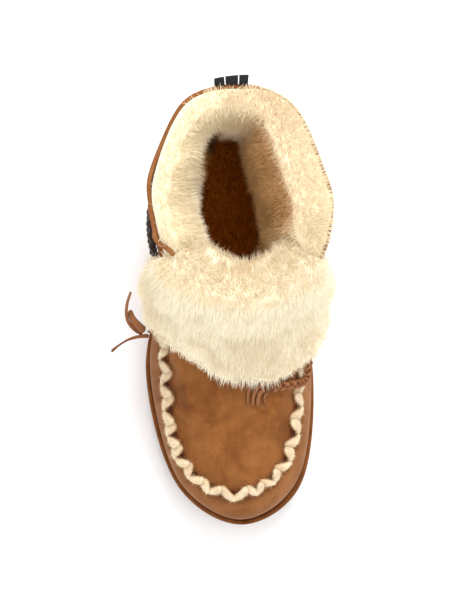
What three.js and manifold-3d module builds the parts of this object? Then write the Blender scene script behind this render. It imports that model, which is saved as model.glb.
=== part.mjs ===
import * as THREE from "three";
import { mergeVertices } from "three/addons/utils/BufferGeometryUtils.js";
import Module from "manifold-3d";

// A moccasin ankle boot for the right foot: suede over deep shearling, an apron toe, a fold-over
// shearling cuff, a crocheted ankle seam, a braided lace with tassels, a webbing heel tab and a
// rubber sole. Millimetres, +Z up. The toe points to -Y and +X is the inner side of the foot.
// The origin is on the ground under the middle of the heel.

const { Vector3 } = THREE;
const { clamp, lerp, smoothstep } = THREE.MathUtils;

// ---- Driving sizes ----
const soleLength = 262;
const ballHalf = 51.5; // half the sole's width across the ball
const heelRadius = 38; // the sole ends this far behind the origin
const heelHeight = 24; // ground to the foot's seat, at the heel
const ballHeight = 16; // the same under the ball
const toeSpring = 8;
const archRise = 3;
const shaftHeight = 125; // the sole's top to the rim, at the back
const gap = 0.35; // between pieces that meet
const turnSteps = 64; // columns round the boot

// ---- The sole's profile, s millimetres from the back of the heel ----
const heelFlat = { from: 9, to: 68 };
const ballFlat = { from: 138, to: 206 };
const toY = (s) => heelRadius - s;

function springAt(s) {
  return toeSpring * Math.max(0, (s - ballFlat.to) / (soleLength - ballFlat.to)) ** 2;
}

function soleBottom(s) {
  const arch = smoothstep(s, heelFlat.to, 90) - smoothstep(s, 118, ballFlat.from);
  const heelBevel = 1.6 * (1 - smoothstep(s, 0, heelFlat.from));
  return springAt(s) + archRise * arch + heelBevel;
}

function soleTop(s) {
  const drop = (heelHeight - ballHeight) * smoothstep(s, 60, 172);
  return heelHeight - drop + springAt(s);
}

// ---- Rings: loops round the boot, from the sole up to the rim ----
// A loop passes through ten points: the toe's tip, four stations down the inner side, the back and
// the same four up the outer side. along is a station's place from the back of the loop to its
// front, centre how far the foot's curve takes the loop's middle to the inner side, and swing its
// share of the loop's own swing.
const stations = {
  toe: { along: 0.905, centre: 4.3, swing: 0 },
  ball: { along: 0.65, centre: -1.2, swing: -0.7 },
  waist: { along: 0.42, centre: -3.4, swing: 0.3 },
  heel: { along: 0.085, centre: 0, swing: 1 },
};
const tipCentre = 5.6;

// front and back are shares of the sole's length. toe to heel are half widths, as shares of
// ballHalf. nose to rear are heights above the sole's top, as shares of shaftHeight. curve is how
// much of the foot's curve is left, swing how far the back of the loop leans to the inner side, and
// wall the suede and its deep fleece together, both in millimetres.
const ringColumns = [
  "name", "front", "back", "toe", "ball", "waist", "heel",
  "nose", "corner", "side", "rear", "curve", "swing", "wall",
];
const ringRows = [
  ["feather", 0.984, 0.017, 0.655, 0.915, 0.705, 0.62, 0, 0, 0, 0, 1, 0, 7],
  ["lowWall", 0.987, 0.013, 0.705, 0.95, 0.755, 0.645, 0.064, 0.064, 0.064, 0.064, 0.85, 0, 9],
  ["highWall", 0.977, 0.013, 0.7, 0.935, 0.795, 0.65, 0.16, 0.165, 0.18, 0.15, 0.6, 0, 10.5],
  ["seam", 0.94, 0.017, 0.66, 0.842, 0.825, 0.64, 0.222, 0.25, 0.28, 0.23, 0.15, 0.6, 11],
  ["apronEdge", 0.88, 0.021, 0.55, 0.775, 0.82, 0.63, 0.3, 0.312, 0.336, 0.3, 0.15, 0, 11],
  ["dome", 0.82, 0.029, 0.49, 0.785, 0.835, 0.62, 0.362, 0.376, 0.4, 0.365, 0.15, -0.8, 11.5],
  ["throat", 0.725, 0.037, 0.5, 0.815, 0.845, 0.59, 0.405, 0.43, 0.466, 0.44, 0.15, -1.2, 13],
  ["instep", 0.615, 0.046, 0.58, 0.855, 0.865, 0.56, 0.5, 0.505, 0.52, 0.525, 0.15, -1.6, 15.5],
  ["ankle", 0.553, 0.051, 0.63, 0.895, 0.885, 0.565, 0.614, 0.62, 0.635, 0.65, 0.15, -1.9, 16.5],
  ["shaft", 0.515, 0.051, 0.69, 0.94, 0.915, 0.58, 0.74, 0.74, 0.765, 0.79, 0.15, -2.1, 16.5],
  ["collar", 0.496, 0.048, 0.72, 0.98, 0.945, 0.595, 0.81, 0.84, 0.885, 0.91, 0.2, -2.1, 15.5],
  ["rim", 0.489, 0.046, 0.75, 1.003, 0.957, 0.603, 0.855, 0.905, 0.965, 1, 0.2, -2.0, 13.5],
];
const namedRow = (names, row) => Object.fromEntries(names.map((name, i) => [name, row[i]]));
const tableRows = (names, rows) => rows.map((row) => namedRow(names, row));
const rings = tableRows(ringColumns, ringRows);
const level = Object.fromEntries(rings.map((ring, i) => [ring.name, i]));

function loopCurve(size, heightAt) {
  const span = size.front - size.back;
  const place = (along, x, station) => {
    const s = size.back + along * span;
    return new Vector3(x, toY(s), heightAt(s, station));
  };
  const flank = (name, side) => {
    const { along, centre, swing } = stations[name];
    return place(along, side * size[name] + size.curve * centre + size.swing * swing, name);
  };
  const inner = Object.keys(stations).map((name) => flank(name, 1));
  const outer = Object.keys(stations).map((name) => flank(name, -1));
  const tip = place(1, size.curve * tipCentre, "tip");
  const back = place(0, size.swing, "back");
  return new THREE.CatmullRomCurve3([tip, ...inner, back, ...outer.reverse()], true, "catmullrom");
}

function ringCurve(ring) {
  const rises = {
    tip: ring.nose,
    toe: ring.corner,
    ball: ring.side,
    waist: ring.side,
    heel: lerp(ring.side, ring.rear, 0.7),
    back: ring.rear,
  };
  const { curve, swing } = ring;
  const size = { curve, swing, front: ring.front * soleLength, back: ring.back * soleLength };
  Object.keys(stations).forEach((name) => (size[name] = ring[name] * ballHalf));
  return loopCurve(size, (s, station) => soleTop(s) + gap + rises[station] * shaftHeight);
}

const ringLoops = rings.map(ringCurve);
const columnCurves = new Map();

// The boot's outside. turn runs once round from the toe, down the inner side to the heel and back
// up the outer side. height counts in rings.
function outside(turn, height) {
  const key = (((turn % 1) + 1) % 1).toFixed(5);
  if (!columnCurves.has(key)) {
    const points = ringLoops.map((loop) => loop.getPoint(Number(key)));
    columnCurves.set(key, new THREE.CatmullRomCurve3(points));
  }
  return columnCurves.get(key).getPoint(clamp(height / level.rim, 0, 1));
}

function slopes(turn, height, turnReach, heightReach) {
  const low = Math.max(0, height - heightReach);
  const high = Math.min(level.rim, height + heightReach);
  const round = outside(turn + turnReach, height).sub(outside(turn - turnReach, height));
  const up = outside(turn, high).sub(outside(turn, low));
  return { round: round.divideScalar(2 * turnReach), up: up.divideScalar(high - low) };
}

// Straight out of the boot, evened over a few centimetres so that an offset doesn't fold.
function outward(turn, height) {
  const { round, up } = slopes(turn, height, 0.025, 0.9);
  return round.cross(up).normalize();
}

function wallAt(height) {
  const i = Math.min(level.rim - 1, Math.floor(height));
  return lerp(rings[i].wall, rings[i + 1].wall, height - i);
}

function proud(turn, height, distance) {
  return outside(turn, height).addScaledVector(outward(turn, height), distance);
}

// ---- Closed meshes ----
function meshFrom(points, triangles) {
  const geometry = new THREE.BufferGeometry();
  const coordinates = points.flatMap((point) => point.toArray());
  geometry.setAttribute("position", new THREE.Float32BufferAttribute(coordinates, 3));
  geometry.setIndex(triangles);
  return mergeVertices(geometry, 1e-4);
}

// A panel of the boot's wall, over the cells that covers() picks from a grid of turns and heights.
// A line's shift, in millimetres, leaves the gap beside the next panel.
function panel(turnLines, heightLines, closed, covers) {
  const points = [];
  for (const turnLine of turnLines) {
    for (const heightLine of heightLines) {
      const { round, up } = slopes(turnLine.at, heightLine.at, 0.004, 0.05);
      const turn = turnLine.at + turnLine.shift / round.length();
      const height = clamp(heightLine.at + heightLine.shift / up.length(), 0, level.rim);
      points.push(outside(turn, height), proud(turn, height, -wallAt(height)));
    }
  }
  const outer = (i, j) => 2 * ((i % turnLines.length) * heightLines.length + j);
  const inner = (i, j) => outer(i, j) + 1;
  const columnCount = closed ? turnLines.length : turnLines.length - 1;
  const filled = (i, j) => {
    const column = closed ? (i + columnCount) % columnCount : i;
    const exists = column >= 0 && column < columnCount && j >= 0 && j < heightLines.length - 1;
    return exists && covers(turnLines[column].at, heightLines[j].at);
  };
  const triangles = [];
  const quad = (a, b, c, d) => triangles.push(a, b, c, a, c, d);
  for (let i = 0; i < columnCount; i += 1) {
    for (let j = 0; j < heightLines.length - 1; j += 1) {
      if (!filled(i, j)) continue;
      quad(outer(i, j), outer(i + 1, j), outer(i + 1, j + 1), outer(i, j + 1));
      quad(inner(i, j), inner(i, j + 1), inner(i + 1, j + 1), inner(i + 1, j));
      if (!filled(i, j - 1)) quad(outer(i, j), inner(i, j), inner(i + 1, j), outer(i + 1, j));
      if (!filled(i, j + 1)) quad(outer(i, j + 1), outer(i + 1, j + 1), inner(i + 1, j + 1), inner(i, j + 1));
      if (!filled(i - 1, j)) quad(outer(i, j), outer(i, j + 1), inner(i, j + 1), inner(i, j));
      if (!filled(i + 1, j)) quad(outer(i + 1, j), inner(i + 1, j), inner(i + 1, j + 1), outer(i + 1, j + 1));
    }
  }
  return meshFrom(points, triangles);
}

// The triangles inside a section's outline: from its first and last points inwards, its two sides
// are joined by the shorter rung each time.
function capOf(section) {
  const triangles = [];
  let [near, far] = [0, section.length - 1];
  while (far - near > 1) {
    const nearRung = section[near + 1].distanceTo(section[far]);
    const farRung = section[near].distanceTo(section[far - 1]);
    if (nearRung < farRung) {
      triangles.push([near, near + 1, far]);
      near += 1;
    } else {
      triangles.push([near, far - 1, far]);
      far -= 1;
    }
  }
  return triangles;
}

// A bar through closed sections of as many points each, which run clockwise seen from its start.
function bar(sections) {
  const count = sections[0].length;
  const points = sections.flat();
  const triangles = [];
  for (let i = 0; i < sections.length - 1; i += 1) {
    for (let j = 0; j < count; j += 1) {
      const [a, b] = [i * count + j, i * count + ((j + 1) % count)];
      triangles.push(a, b, b + count, a, b + count, a + count);
    }
  }
  const last = points.length - count;
  capOf(sections[0]).forEach(([a, b, c]) => triangles.push(a, c, b));
  capOf(sections.at(-1)).forEach(([a, b, c]) => triangles.push(last + a, last + b, last + c));
  return meshFrom(points, triangles);
}

// A plate through loops stacked from its underside up. Its top and bottom are strips across the
// boot, because a loop's turn and its mirrored turn are equally far from the heel.
function plate(loops) {
  const turns = Array.from({ length: turnSteps }, (_, i) => i / turnSteps);
  const points = loops.flatMap((loop) => turns.map((turn) => loop.getPoint(turn)));
  const triangles = [];
  const quad = (a, b, c, d) => triangles.push(a, b, c, a, c, d);
  for (let k = 0; k < loops.length - 1; k += 1) {
    for (let i = 0; i < turnSteps; i += 1) {
      const [a, b] = [k * turnSteps + i, k * turnSteps + ((i + 1) % turnSteps)];
      quad(a, b, b + turnSteps, a + turnSteps);
    }
  }
  const top = (loops.length - 1) * turnSteps;
  for (let i = 0; i < turnSteps / 2; i += 1) {
    const [a, b] = [i, i + 1];
    const [c, d] = [turnSteps - i - 1, (turnSteps - i) % turnSteps];
    quad(d, c, b, a);
    quad(top + a, top + b, top + c, top + d);
  }
  const solid = triangles.filter((_, n) => {
    const corner = n - (n % 3);
    return new Set(triangles.slice(corner, corner + 3)).size === 3;
  });
  return meshFrom(points, solid);
}

// ---- Booleans ----
const wasm = await Module();
wasm.setup();

function toManifold(geometry) {
  const bare = new THREE.BufferGeometry();
  bare.setAttribute("position", geometry.getAttribute("position"));
  if (geometry.index) bare.setIndex(geometry.index);
  const merged = mergeVertices(bare, 1e-4);
  const vertProperties = new Float32Array(merged.getAttribute("position").array);
  const triVerts = new Uint32Array(merged.index.array);
  return new wasm.Manifold(new wasm.Mesh({ numProp: 3, vertProperties, triVerts }));
}

function fromManifold(solid) {
  const { vertProperties, triVerts } = solid.getMesh();
  const geometry = new THREE.BufferGeometry();
  geometry.setAttribute("position", new THREE.Float32BufferAttribute(vertProperties, 3));
  geometry.setIndex(new THREE.Uint32BufferAttribute(triVerts, 1));
  return geometry;
}

// ---- Sole ----
const soleSize = { toe: 38.3, ball: 51.5, waist: 40, heel: 35.6 };

function soleLoop(inset, heightAt) {
  const size = { curve: 1, swing: 0, front: soleLength - inset, back: inset };
  Object.keys(stations).forEach((name) => (size[name] = soleSize[name] - inset));
  return loopCurve(size, heightAt);
}

// A loop takes its heights from ten points: this puts each point of it at its own height instead.
function levelled(loop, heightAt) {
  const getPoint = (turn) => {
    const point = loop.getPoint(turn);
    point.z = heightAt(heelRadius - point.y);
    return point;
  };
  return { getPoint };
}

const lipHeight = 2;
const treadGrooves = [
  { first: 17.75, last: 62, pitch: 13.5 },
  { first: 138, last: 250, pitch: 13.5 },
];
const grooveWidth = 4;
const treadDepth = 2.6;

function outsole() {
  const layers = [
    levelled(soleLoop(3.4, soleBottom), soleBottom),
    levelled(soleLoop(1, soleBottom), (s) => soleBottom(s) + treadDepth),
    soleLoop(0.4, (s) => lerp(soleBottom(s), soleTop(s), 0.6)),
    soleLoop(0, (s) => soleTop(s)),
    soleLoop(0.8, (s) => soleTop(s) + lipHeight),
    soleLoop(2.8, (s) => soleTop(s) + lipHeight),
    soleLoop(3.6, (s) => soleTop(s)),
  ];
  let solid = toManifold(plate(layers));
  for (const { first, last, pitch } of treadGrooves) {
    for (let s = first; s <= last; s += pitch) {
      const groove = new THREE.BoxGeometry(3 * ballHalf, grooveWidth, 2 * treadDepth);
      groove.translate(0, toY(s), soleBottom(s));
      solid = solid.subtract(toManifold(groove));
    }
  }
  return fromManifold(solid);
}

const insoleInset = 12.4;
const insoleThickness = 4.5;
const insoleGap = 0.6; // the sole's top is a little uneven where its loops bend

function insole() {
  const layer = (inset, rise) => soleLoop(insoleInset + inset, (s) => soleTop(s) + insoleGap + rise);
  return plate([layer(0, 0), layer(0, insoleThickness - 1.2), layer(1.2, insoleThickness)]);
}

// ---- Upper ----
const apronTurn = 16 / turnSteps; // the apron ends this far round, under the cuff
const rowsPerRing = 2;

const lines = (values, shifts) => values.map((at) => ({ at, shift: shifts.get(at) ?? 0 }));

function heightsBetween(low, high) {
  return Array.from({ length: (high - low) * rowsPerRing + 1 }, (_, i) => low + i / rowsPerRing);
}

function turnsBetween(first, last) {
  return Array.from({ length: last - first + 1 }, (_, i) => (first + i) / turnSteps);
}

const wholeTurn = turnsBetween(0, turnSteps - 1);
const everywhere = () => true;
const onApron = (turn, height) => height >= level.seam && (turn < apronTurn || turn >= 1 - apronTurn);

function upper() {
  const sides = new Map([[apronTurn, gap / 2], [1 - apronTurn, -gap / 2]]);
  const seams = new Map([[level.seam, -gap / 2], [level.instep, -gap / 2]]);
  const heights = heightsBetween(level.feather, level.instep);
  const offApron = (turn, height) => !onApron(turn, height);
  return panel(lines(wholeTurn, sides), lines(heights, seams), true, offApron);
}

function apron() {
  const sides = new Map([[apronTurn, -gap / 2], [-apronTurn, gap / 2]]);
  const seams = new Map([[level.seam, gap / 2], [level.instep, -gap / 2]]);
  const turns = turnsBetween(-apronTurn * turnSteps, apronTurn * turnSteps);
  const heights = heightsBetween(level.seam, level.instep);
  return panel(lines(turns, sides), lines(heights, seams), false, everywhere);
}

function shaft() {
  const seams = new Map([[level.instep, gap / 2]]);
  const heights = heightsBetween(level.instep, level.rim);
  return panel(lines(wholeTurn, new Map()), lines(heights, seams), true, everywhere);
}

// ---- Cuff: the shaft's front rolled over, hanging down outside as a flap of fleece ----
const cuffSections = 24;
const cuffFleece = 13.5;
const cuffClearance = 0.7;
const sideClearance = 6.6; // the flap's sides stand off, and a lace runs under each
const foldHeight = 11.5;
const foldGap = 0.75; // over the rim, where the fold's underside is less even than the shaft's top
const foldOverhang = 3; // past the shaft's inner face
const foldPoints = 9;
const flapRows = 9;
const flapEdge = { top: 0.138, hem: 0.2 }; // turns from the toe to the flap's side edges
const hemLevel = { middle: 6.7, inner: 4.95, outer: 5.55 };
const hemBow = { inner: 1.7, outer: 2.3 };
const hemLip = 1.2; // the flap's thickness where it tucks under
const endThinning = { top: 0.7, hem: 0.25 }; // how much of the fleece the flap's side edges lose

// share runs from -1 at the flap's outer edge to 1 at its inner edge.
function cuffSection(share) {
  const side = Math.abs(share);
  const half = share > 0 ? "inner" : "outer";
  const hem = lerp(hemLevel.middle, hemLevel[half], side ** hemBow[half]);
  const dropAt = (height) => (level.rim - height) / (level.rim - hem);
  const turnAt = (height) => share * lerp(flapEdge.top, flapEdge.hem, dropAt(height));
  const thinningAt = (height) => lerp(endThinning.top, endThinning.hem, smoothstep(dropAt(height), 0.1, 0.7));
  const fleeceAt = (height) => cuffFleece * (1 - thinningAt(height) * side ** 6);
  const clearanceAt = (height) => {
    const standsOff = smoothstep(side, 0.45, 0.9) * smoothstep(dropAt(height), 0.1, 0.6);
    return cuffClearance + sideClearance * standsOff;
  };
  const over = (height, distance) => proud(turnAt(height), height, clearanceAt(height) + distance);
  const rim = outside(turnAt(level.rim), level.rim);
  const out = outward(turnAt(level.rim), level.rim);
  const wall = wallAt(level.rim) + foldOverhang;
  const fleece = fleeceAt(level.rim);
  const fold = Array.from({ length: foldPoints }, (_, i) => {
    const angle = Math.PI * (1 - i / (foldPoints - 1));
    const reach = (fleece - wall + Math.cos(angle) * (fleece + wall)) / 2;
    const point = rim.clone().addScaledVector(out, reach);
    point.z += foldGap + (Math.sin(angle) * foldHeight * fleece) / cuffFleece;
    return point;
  });
  const heights = Array.from({ length: flapRows }, (_, i) => lerp(level.rim - 0.3, hem, i / (flapRows - 1)));
  const down = heights.map((height, i) => over(height, fleeceAt(height) * (i === flapRows - 1 ? 0.8 : 1)));
  const tuck = [over(hem - 0.25, fleeceAt(hem) * 0.45), over(hem - 0.1, hemLip)];
  const up = heights.reverse().map((height) => over(height, 0));
  const ledge = rim.clone().addScaledVector(out, cuffClearance);
  ledge.z += foldGap;
  return [...up, ledge, ...fold, ...down, ...tuck];
}

function cuff() {
  return bar(Array.from({ length: cuffSections + 1 }, (_, i) => cuffSection(lerp(-1, 1, i / cuffSections))));
}

// ---- Heel tab: a strap of webbing from the back of the shaft up and over its rim ----
const tabThickness = 1.4;
const tabTurns = [0.48, 0.4945, 0.509, 0.5235, 0.538];
const tabSkew = 1.6; // the inner end stands this much further back
const tabColumns = ["height", "rise", "distance"];
const tabRows = [
  [9.7, 0, 0.5],
  [10.2, 0, 1.4],
  [10.7, 0, 2.6],
  [11, 1.4, 3],
  [11, 3, 1.8],
  [11, 2.4, 0.4],
  [11, 1.2, -1.6],
];

function heelTab() {
  const sections = tabTurns.map((turn) => {
    const skew = 1 + (tabSkew * (0.5 - turn)) / (tabTurns.at(-1) - tabTurns[0]);
    const face = (thickness) =>
      tableRows(tabColumns, tabRows).map(({ height, rise, distance }, i) => {
        const over = clamp(i / 2 - 1, 0, 1);
        const bulge = distance > 0.5 ? skew : 0;
        const point = proud(turn, height, distance + bulge + thickness * (1 - over));
        point.z += rise + thickness * over;
        return point;
      });
    return [...face(0), ...face(tabThickness).reverse()];
  });
  return bar(sections);
}

// ---- Ankle braid: a crocheted cord over the seam between upper and shaft ----
const braidRadius = 3.4;
const braidHeight = level.instep + 0.25;
const braidTurns = { first: 13, last: turnSteps - 13 };
const braidSides = 8;

function ankleBraid() {
  const sections = turnsBetween(braidTurns.first, braidTurns.last).map((turn) => {
    const centre = proud(turn, braidHeight, braidRadius + gap);
    const out = outward(turn, braidHeight);
    const { up } = slopes(turn, braidHeight, 0.01, 0.2);
    up.projectOnPlane(out).normalize();
    return Array.from({ length: braidSides }, (_, i) => {
      const angle = (-2 * Math.PI * i) / braidSides;
      const across = out.clone().multiplyScalar(Math.cos(angle)).addScaledVector(up, Math.sin(angle));
      return centre.clone().addScaledVector(across, braidRadius);
    });
  });
  return bar(sections);
}

// ---- Laces: braided suede that comes out under each side of the cuff and ends in a tassel ----
// Routes are points of x, s and height.
const laceDiameter = 5.5;
const strandDiameter = 2.4;
const cordSides = 8;
const laceRoutes = {
  lace_inner: [
    [46.4, 128, 74],
    [47.8, 140, 66.4],
    [47.8, 150, 60],
    [46.4, 158, 56.6],
    [45.2, 164, 56],
    [44.8, 169, 55.8],
    [43.8, 173.2, 57],
    [41, 176.2, 60.6],
    [36.1, 177.8, 68.2],
    [30.6, 178.6, 71.6],
    [25.5, 179.6, 72.3],
    [21.2, 180.2, 72.4],
  ],
  lace_outer: [
    [-47.4, 112, 80],
    [-49.3, 121, 75],
    [-50.3, 130, 70],
    [-50.1, 139, 65.5],
    [-49.5, 147.5, 61.5],
  ],
};
const strandRoutes = {
  tassel_inner_1: [
    [17.2, 177.6, 73.4],
    [13.6, 179.8, 72.3],
    [11.2, 184, 70.7],
    [10.6, 188, 69.3],
    [10.6, 191, 68.4],
  ],
  tassel_inner_2: [
    [17.4, 180.6, 72.4],
    [15.2, 182.8, 71.2],
    [14, 186, 70],
    [13.6, 191.3, 68.2],
  ],
  tassel_inner_3: [
    [19.6, 182.9, 71.2],
    [17.8, 184.6, 70.2],
    [17.5, 187, 69.3],
    [18.4, 189.5, 68.4],
  ],
  tassel_inner_4: [
    [13.6, 175.6, 74],
    [9.7, 178.6, 72.9],
    [7.8, 183, 71.4],
    [7.6, 187, 70],
    [7.7, 190, 69],
  ],
  tassel_outer_1: [
    [-51, 148.8, 60.6],
    [-56.6, 149.2, 61.6],
    [-63, 150.9, 59.8],
    [-69, 154.2, 55.2],
    [-73.5, 157.6, 49.8],
  ],
  tassel_outer_2: [
    [-53.5, 146.4, 64.4],
    [-56.9, 143.4, 65],
    [-60, 140, 64.8],
    [-61.6, 137, 64.2],
    [-62.4, 133.5, 63.4],
  ],
  tassel_outer_3: [
    [-54.8, 147.6, 58.8],
    [-60, 144.6, 60.6],
    [-64, 139, 64],
    [-64.2, 131, 67.4],
    [-61.8, 123, 69.6],
  ],
};

function cord(route, diameter, steps) {
  const path = new THREE.CatmullRomCurve3(route.map(([x, s, z]) => new Vector3(x, toY(s), z)));
  const corners = Array.from({ length: cordSides }, (_, i) => {
    const angle = (2 * Math.PI * i) / cordSides;
    return new THREE.Vector2(Math.cos(angle), Math.sin(angle)).multiplyScalar(diameter / 2);
  });
  return new THREE.ExtrudeGeometry(new THREE.Shape(corners), { steps, extrudePath: path });
}

const materials = {
  suede: new THREE.MeshStandardMaterial({ color: 0x8f5a30, roughness: 0.95, metalness: 0 }),
  smoothSuede: new THREE.MeshStandardMaterial({ color: 0x9a653c, roughness: 0.9, metalness: 0 }),
  fleece: new THREE.MeshStandardMaterial({ color: 0xf0e4c8, roughness: 1, metalness: 0 }),
  rubber: new THREE.MeshStandardMaterial({ color: 0x6f3f22, roughness: 0.7, metalness: 0 }),
  lace: new THREE.MeshStandardMaterial({ color: 0x84502f, roughness: 0.9, metalness: 0 }),
  webbing: new THREE.MeshStandardMaterial({ color: 0x1b1a1c, roughness: 0.8, metalness: 0 }),
  crochet: new THREE.MeshStandardMaterial({ color: 0x2c1b13, roughness: 0.95, metalness: 0 }),
  insoleFleece: new THREE.MeshStandardMaterial({ color: 0x6b4122, roughness: 1, metalness: 0 }),
};

const boot = new THREE.Group();

function add(name, geometry, material) {
  const mesh = new THREE.Mesh(geometry, material);
  mesh.name = name;
  boot.add(mesh);
}

add("outsole", outsole(), materials.rubber);
add("insole", insole(), materials.insoleFleece);
add("upper", upper(), materials.smoothSuede);
add("apron", apron(), materials.suede);
add("shaft", shaft(), materials.suede);
add("cuff", cuff(), materials.fleece);
add("heel_tab", heelTab(), materials.webbing);
add("ankle_braid", ankleBraid(), materials.crochet);
for (const [name, route] of Object.entries(laceRoutes)) {
  add(name, cord(route, laceDiameter, 16), materials.lace);
}
for (const [name, route] of Object.entries(strandRoutes)) {
  add(name, cord(route, strandDiameter, 8), materials.lace);
}

export default boot;
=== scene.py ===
import math

import bpy
import numpy as np
from mathutils import Matrix, Vector, noise


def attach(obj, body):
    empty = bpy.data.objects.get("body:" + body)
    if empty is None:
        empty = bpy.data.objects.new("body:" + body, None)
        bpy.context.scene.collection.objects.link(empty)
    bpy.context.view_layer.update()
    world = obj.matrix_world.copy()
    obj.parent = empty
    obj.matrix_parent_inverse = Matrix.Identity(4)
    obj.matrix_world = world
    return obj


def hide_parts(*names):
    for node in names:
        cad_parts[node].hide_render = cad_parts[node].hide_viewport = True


# A moccasin ankle boot for the right foot. The toe points to -Y, +X is the inner side of the foot and
# the floor is at z = 0. Blender works in metres, and the sizes in the dictionaries are millimetres.
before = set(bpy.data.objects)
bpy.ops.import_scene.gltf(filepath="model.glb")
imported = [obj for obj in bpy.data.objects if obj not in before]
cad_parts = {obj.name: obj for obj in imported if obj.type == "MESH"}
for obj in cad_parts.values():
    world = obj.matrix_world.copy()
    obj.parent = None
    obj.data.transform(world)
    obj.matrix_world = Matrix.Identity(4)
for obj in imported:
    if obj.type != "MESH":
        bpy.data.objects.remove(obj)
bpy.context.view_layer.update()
mm = 0.001

view = {
    # the camera looks almost straight down, from a few degrees towards the outer side and the toe
    "target": (-3.5, -85, 0), "tiltX": 2.0, "tiltY": 4.0, "distance": 1400, "lens": 134.4, "clipStart": 50,
}


def addCamera():
    lean = (-math.tan(math.radians(view["tiltX"])), -math.tan(math.radians(view["tiltY"])), 1)
    back = Vector(lean).normalized()
    right = Vector((0, 1, 0)).cross(back).normalized()
    up = back.cross(right)
    camera = bpy.data.objects.new("camera", bpy.data.cameras.new("camera"))
    bpy.context.collection.objects.link(camera)
    place = Vector(view["target"]) * mm + back * view["distance"] * mm
    camera.matrix_world = Matrix.Translation(place) @ Matrix((right, up, back)).transposed().to_4x4()
    camera.data.lens = view["lens"]
    camera.data.clip_start = view["clipStart"] * mm
    bpy.context.scene.camera = camera


lighting = {
    "world": 1.08, "aim": (0, -90, 40), "floor": 8000,
    "lamps": [
        {"name": "keyLight", "at": (160, 1000, 1450), "size": 800, "power": 23.0},
        {"name": "fillLight", "at": (450, -450, 1600), "size": 1000, "power": 5.0},
    ],
}


def addLights():
    world = bpy.data.worlds.new("studio")
    bpy.context.scene.world = world
    world.use_nodes = True
    world.node_tree.nodes["Background"].inputs["Color"].default_value = (1, 1, 1, 1)
    world.node_tree.nodes["Background"].inputs["Strength"].default_value = lighting["world"]
    for lamp in lighting["lamps"]:
        light = bpy.data.lights.new(lamp["name"], "AREA")
        light.size = lamp["size"] * mm
        light.energy = lamp["power"]
        piece = bpy.data.objects.new(lamp["name"], light)
        bpy.context.collection.objects.link(piece)
        piece.location = Vector(lamp["at"]) * mm
        aim = Vector(lighting["aim"]) * mm - piece.location
        piece.rotation_euler = aim.to_track_quat("-Z", "Y").to_euler()
    bpy.context.scene.view_settings.view_transform = "Standard"


def makeFloor():
    bpy.ops.object.select_all(action="DESELECT")
    bpy.ops.mesh.primitive_plane_add(size=lighting["floor"] * mm)
    floor = bpy.context.object
    floor.name = "floor"
    material = newMaterial(
        "floorPaint", Roughness=0.9, Specular_IOR_Level=0.1, Base_Color=(0.96, 0.96, 0.96, 1),
        Emission_Color=(1, 1, 1, 1), Emission_Strength=0.01,
    )[0]
    floor.data.materials.append(material)


# Helpers that work on meshes
def pick(*pieces):
    if bpy.context.object and bpy.context.object.mode != "OBJECT":
        bpy.ops.object.mode_set(mode="OBJECT")
    bpy.ops.object.select_all(action="DESELECT")
    for piece in pieces:
        piece.select_set(True)
    bpy.context.view_layer.objects.active = pieces[0]


def points(piece):
    flat = np.empty(3 * len(piece.data.vertices))
    piece.data.vertices.foreach_get("co", flat)
    return flat.reshape(-1, 3)


def movePoints(piece, places):
    piece.data.vertices.foreach_set("co", np.asarray(places, dtype=float).ravel())
    piece.data.update()


def normalsOf(piece):
    flat = np.empty(3 * len(piece.data.vertices))
    piece.data.vertices.foreach_get("normal", flat)
    return flat.reshape(-1, 3)


def editAll(piece, *steps):
    pick(piece)
    bpy.ops.object.mode_set(mode="EDIT")
    bpy.ops.mesh.select_all(action="SELECT")
    for step in steps:
        step()
    bpy.ops.object.mode_set(mode="OBJECT")


def mergeDoubles(threshold=2e-6):
    bpy.ops.mesh.remove_doubles(threshold=threshold)


def faceOut():
    bpy.ops.mesh.normals_make_consistent(inside=False)


def modify(piece, kind, **settings):
    pick(piece)
    modifier = piece.modifiers.new(kind.lower(), kind)
    for name, value in settings.items():
        setattr(modifier, name, value)
    bpy.ops.object.modifier_apply(modifier=modifier.name)


def join(name, pieces):
    pick(*pieces)
    bpy.ops.object.join()
    piece = bpy.context.object
    piece.name = name
    piece.data.name = name
    return piece


def shapedGrid(name, across, up, place):
    # A grid whose points place() puts, from two runs given as (first, last, number of faces)
    bpy.ops.object.select_all(action="DESELECT")
    bpy.ops.mesh.primitive_grid_add(x_subdivisions=across[2], y_subdivisions=up[2], size=2)
    piece = bpy.context.object
    piece.name = name
    piece.data.name = name
    share = (points(piece) + 1) / 2
    first = across[0] + (across[1] - across[0]) * share[:, 0]
    second = up[0] + (up[1] - up[0]) * share[:, 1]
    movePoints(piece, place(first, second))
    return piece


def smooth(piece):
    pick(piece)
    bpy.ops.object.shade_smooth()


def keep(piece, slot, *nodes, material=None):
    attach(piece, "root")
    if nodes:
        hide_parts(*nodes)
    if material:
        piece.data.materials.clear()
        piece.data.materials.append(material)
    return piece


def setNumbers(piece, name, values):
    attribute = piece.data.attributes.new(name, "FLOAT", "POINT")
    attribute.data.foreach_set("value", np.asarray(values, dtype=float))


def numbersOf(piece, name):
    values = np.empty(len(piece.data.vertices))
    piece.data.attributes[name].data.foreach_get("value", values)
    return values


def setVectors(piece, name, values):
    attribute = piece.data.attributes.new(name, "FLOAT_VECTOR", "POINT")
    attribute.data.foreach_set("vector", np.asarray(values, dtype=float).ravel())


def softStep(x, low, high):
    t = np.clip((x - low) / (high - low), 0, 1)
    return t * t * (3 - 2 * t)


def unit(vectors):
    return vectors / np.maximum(np.linalg.norm(vectors, axis=-1, keepdims=True), 1e-12)


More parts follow.
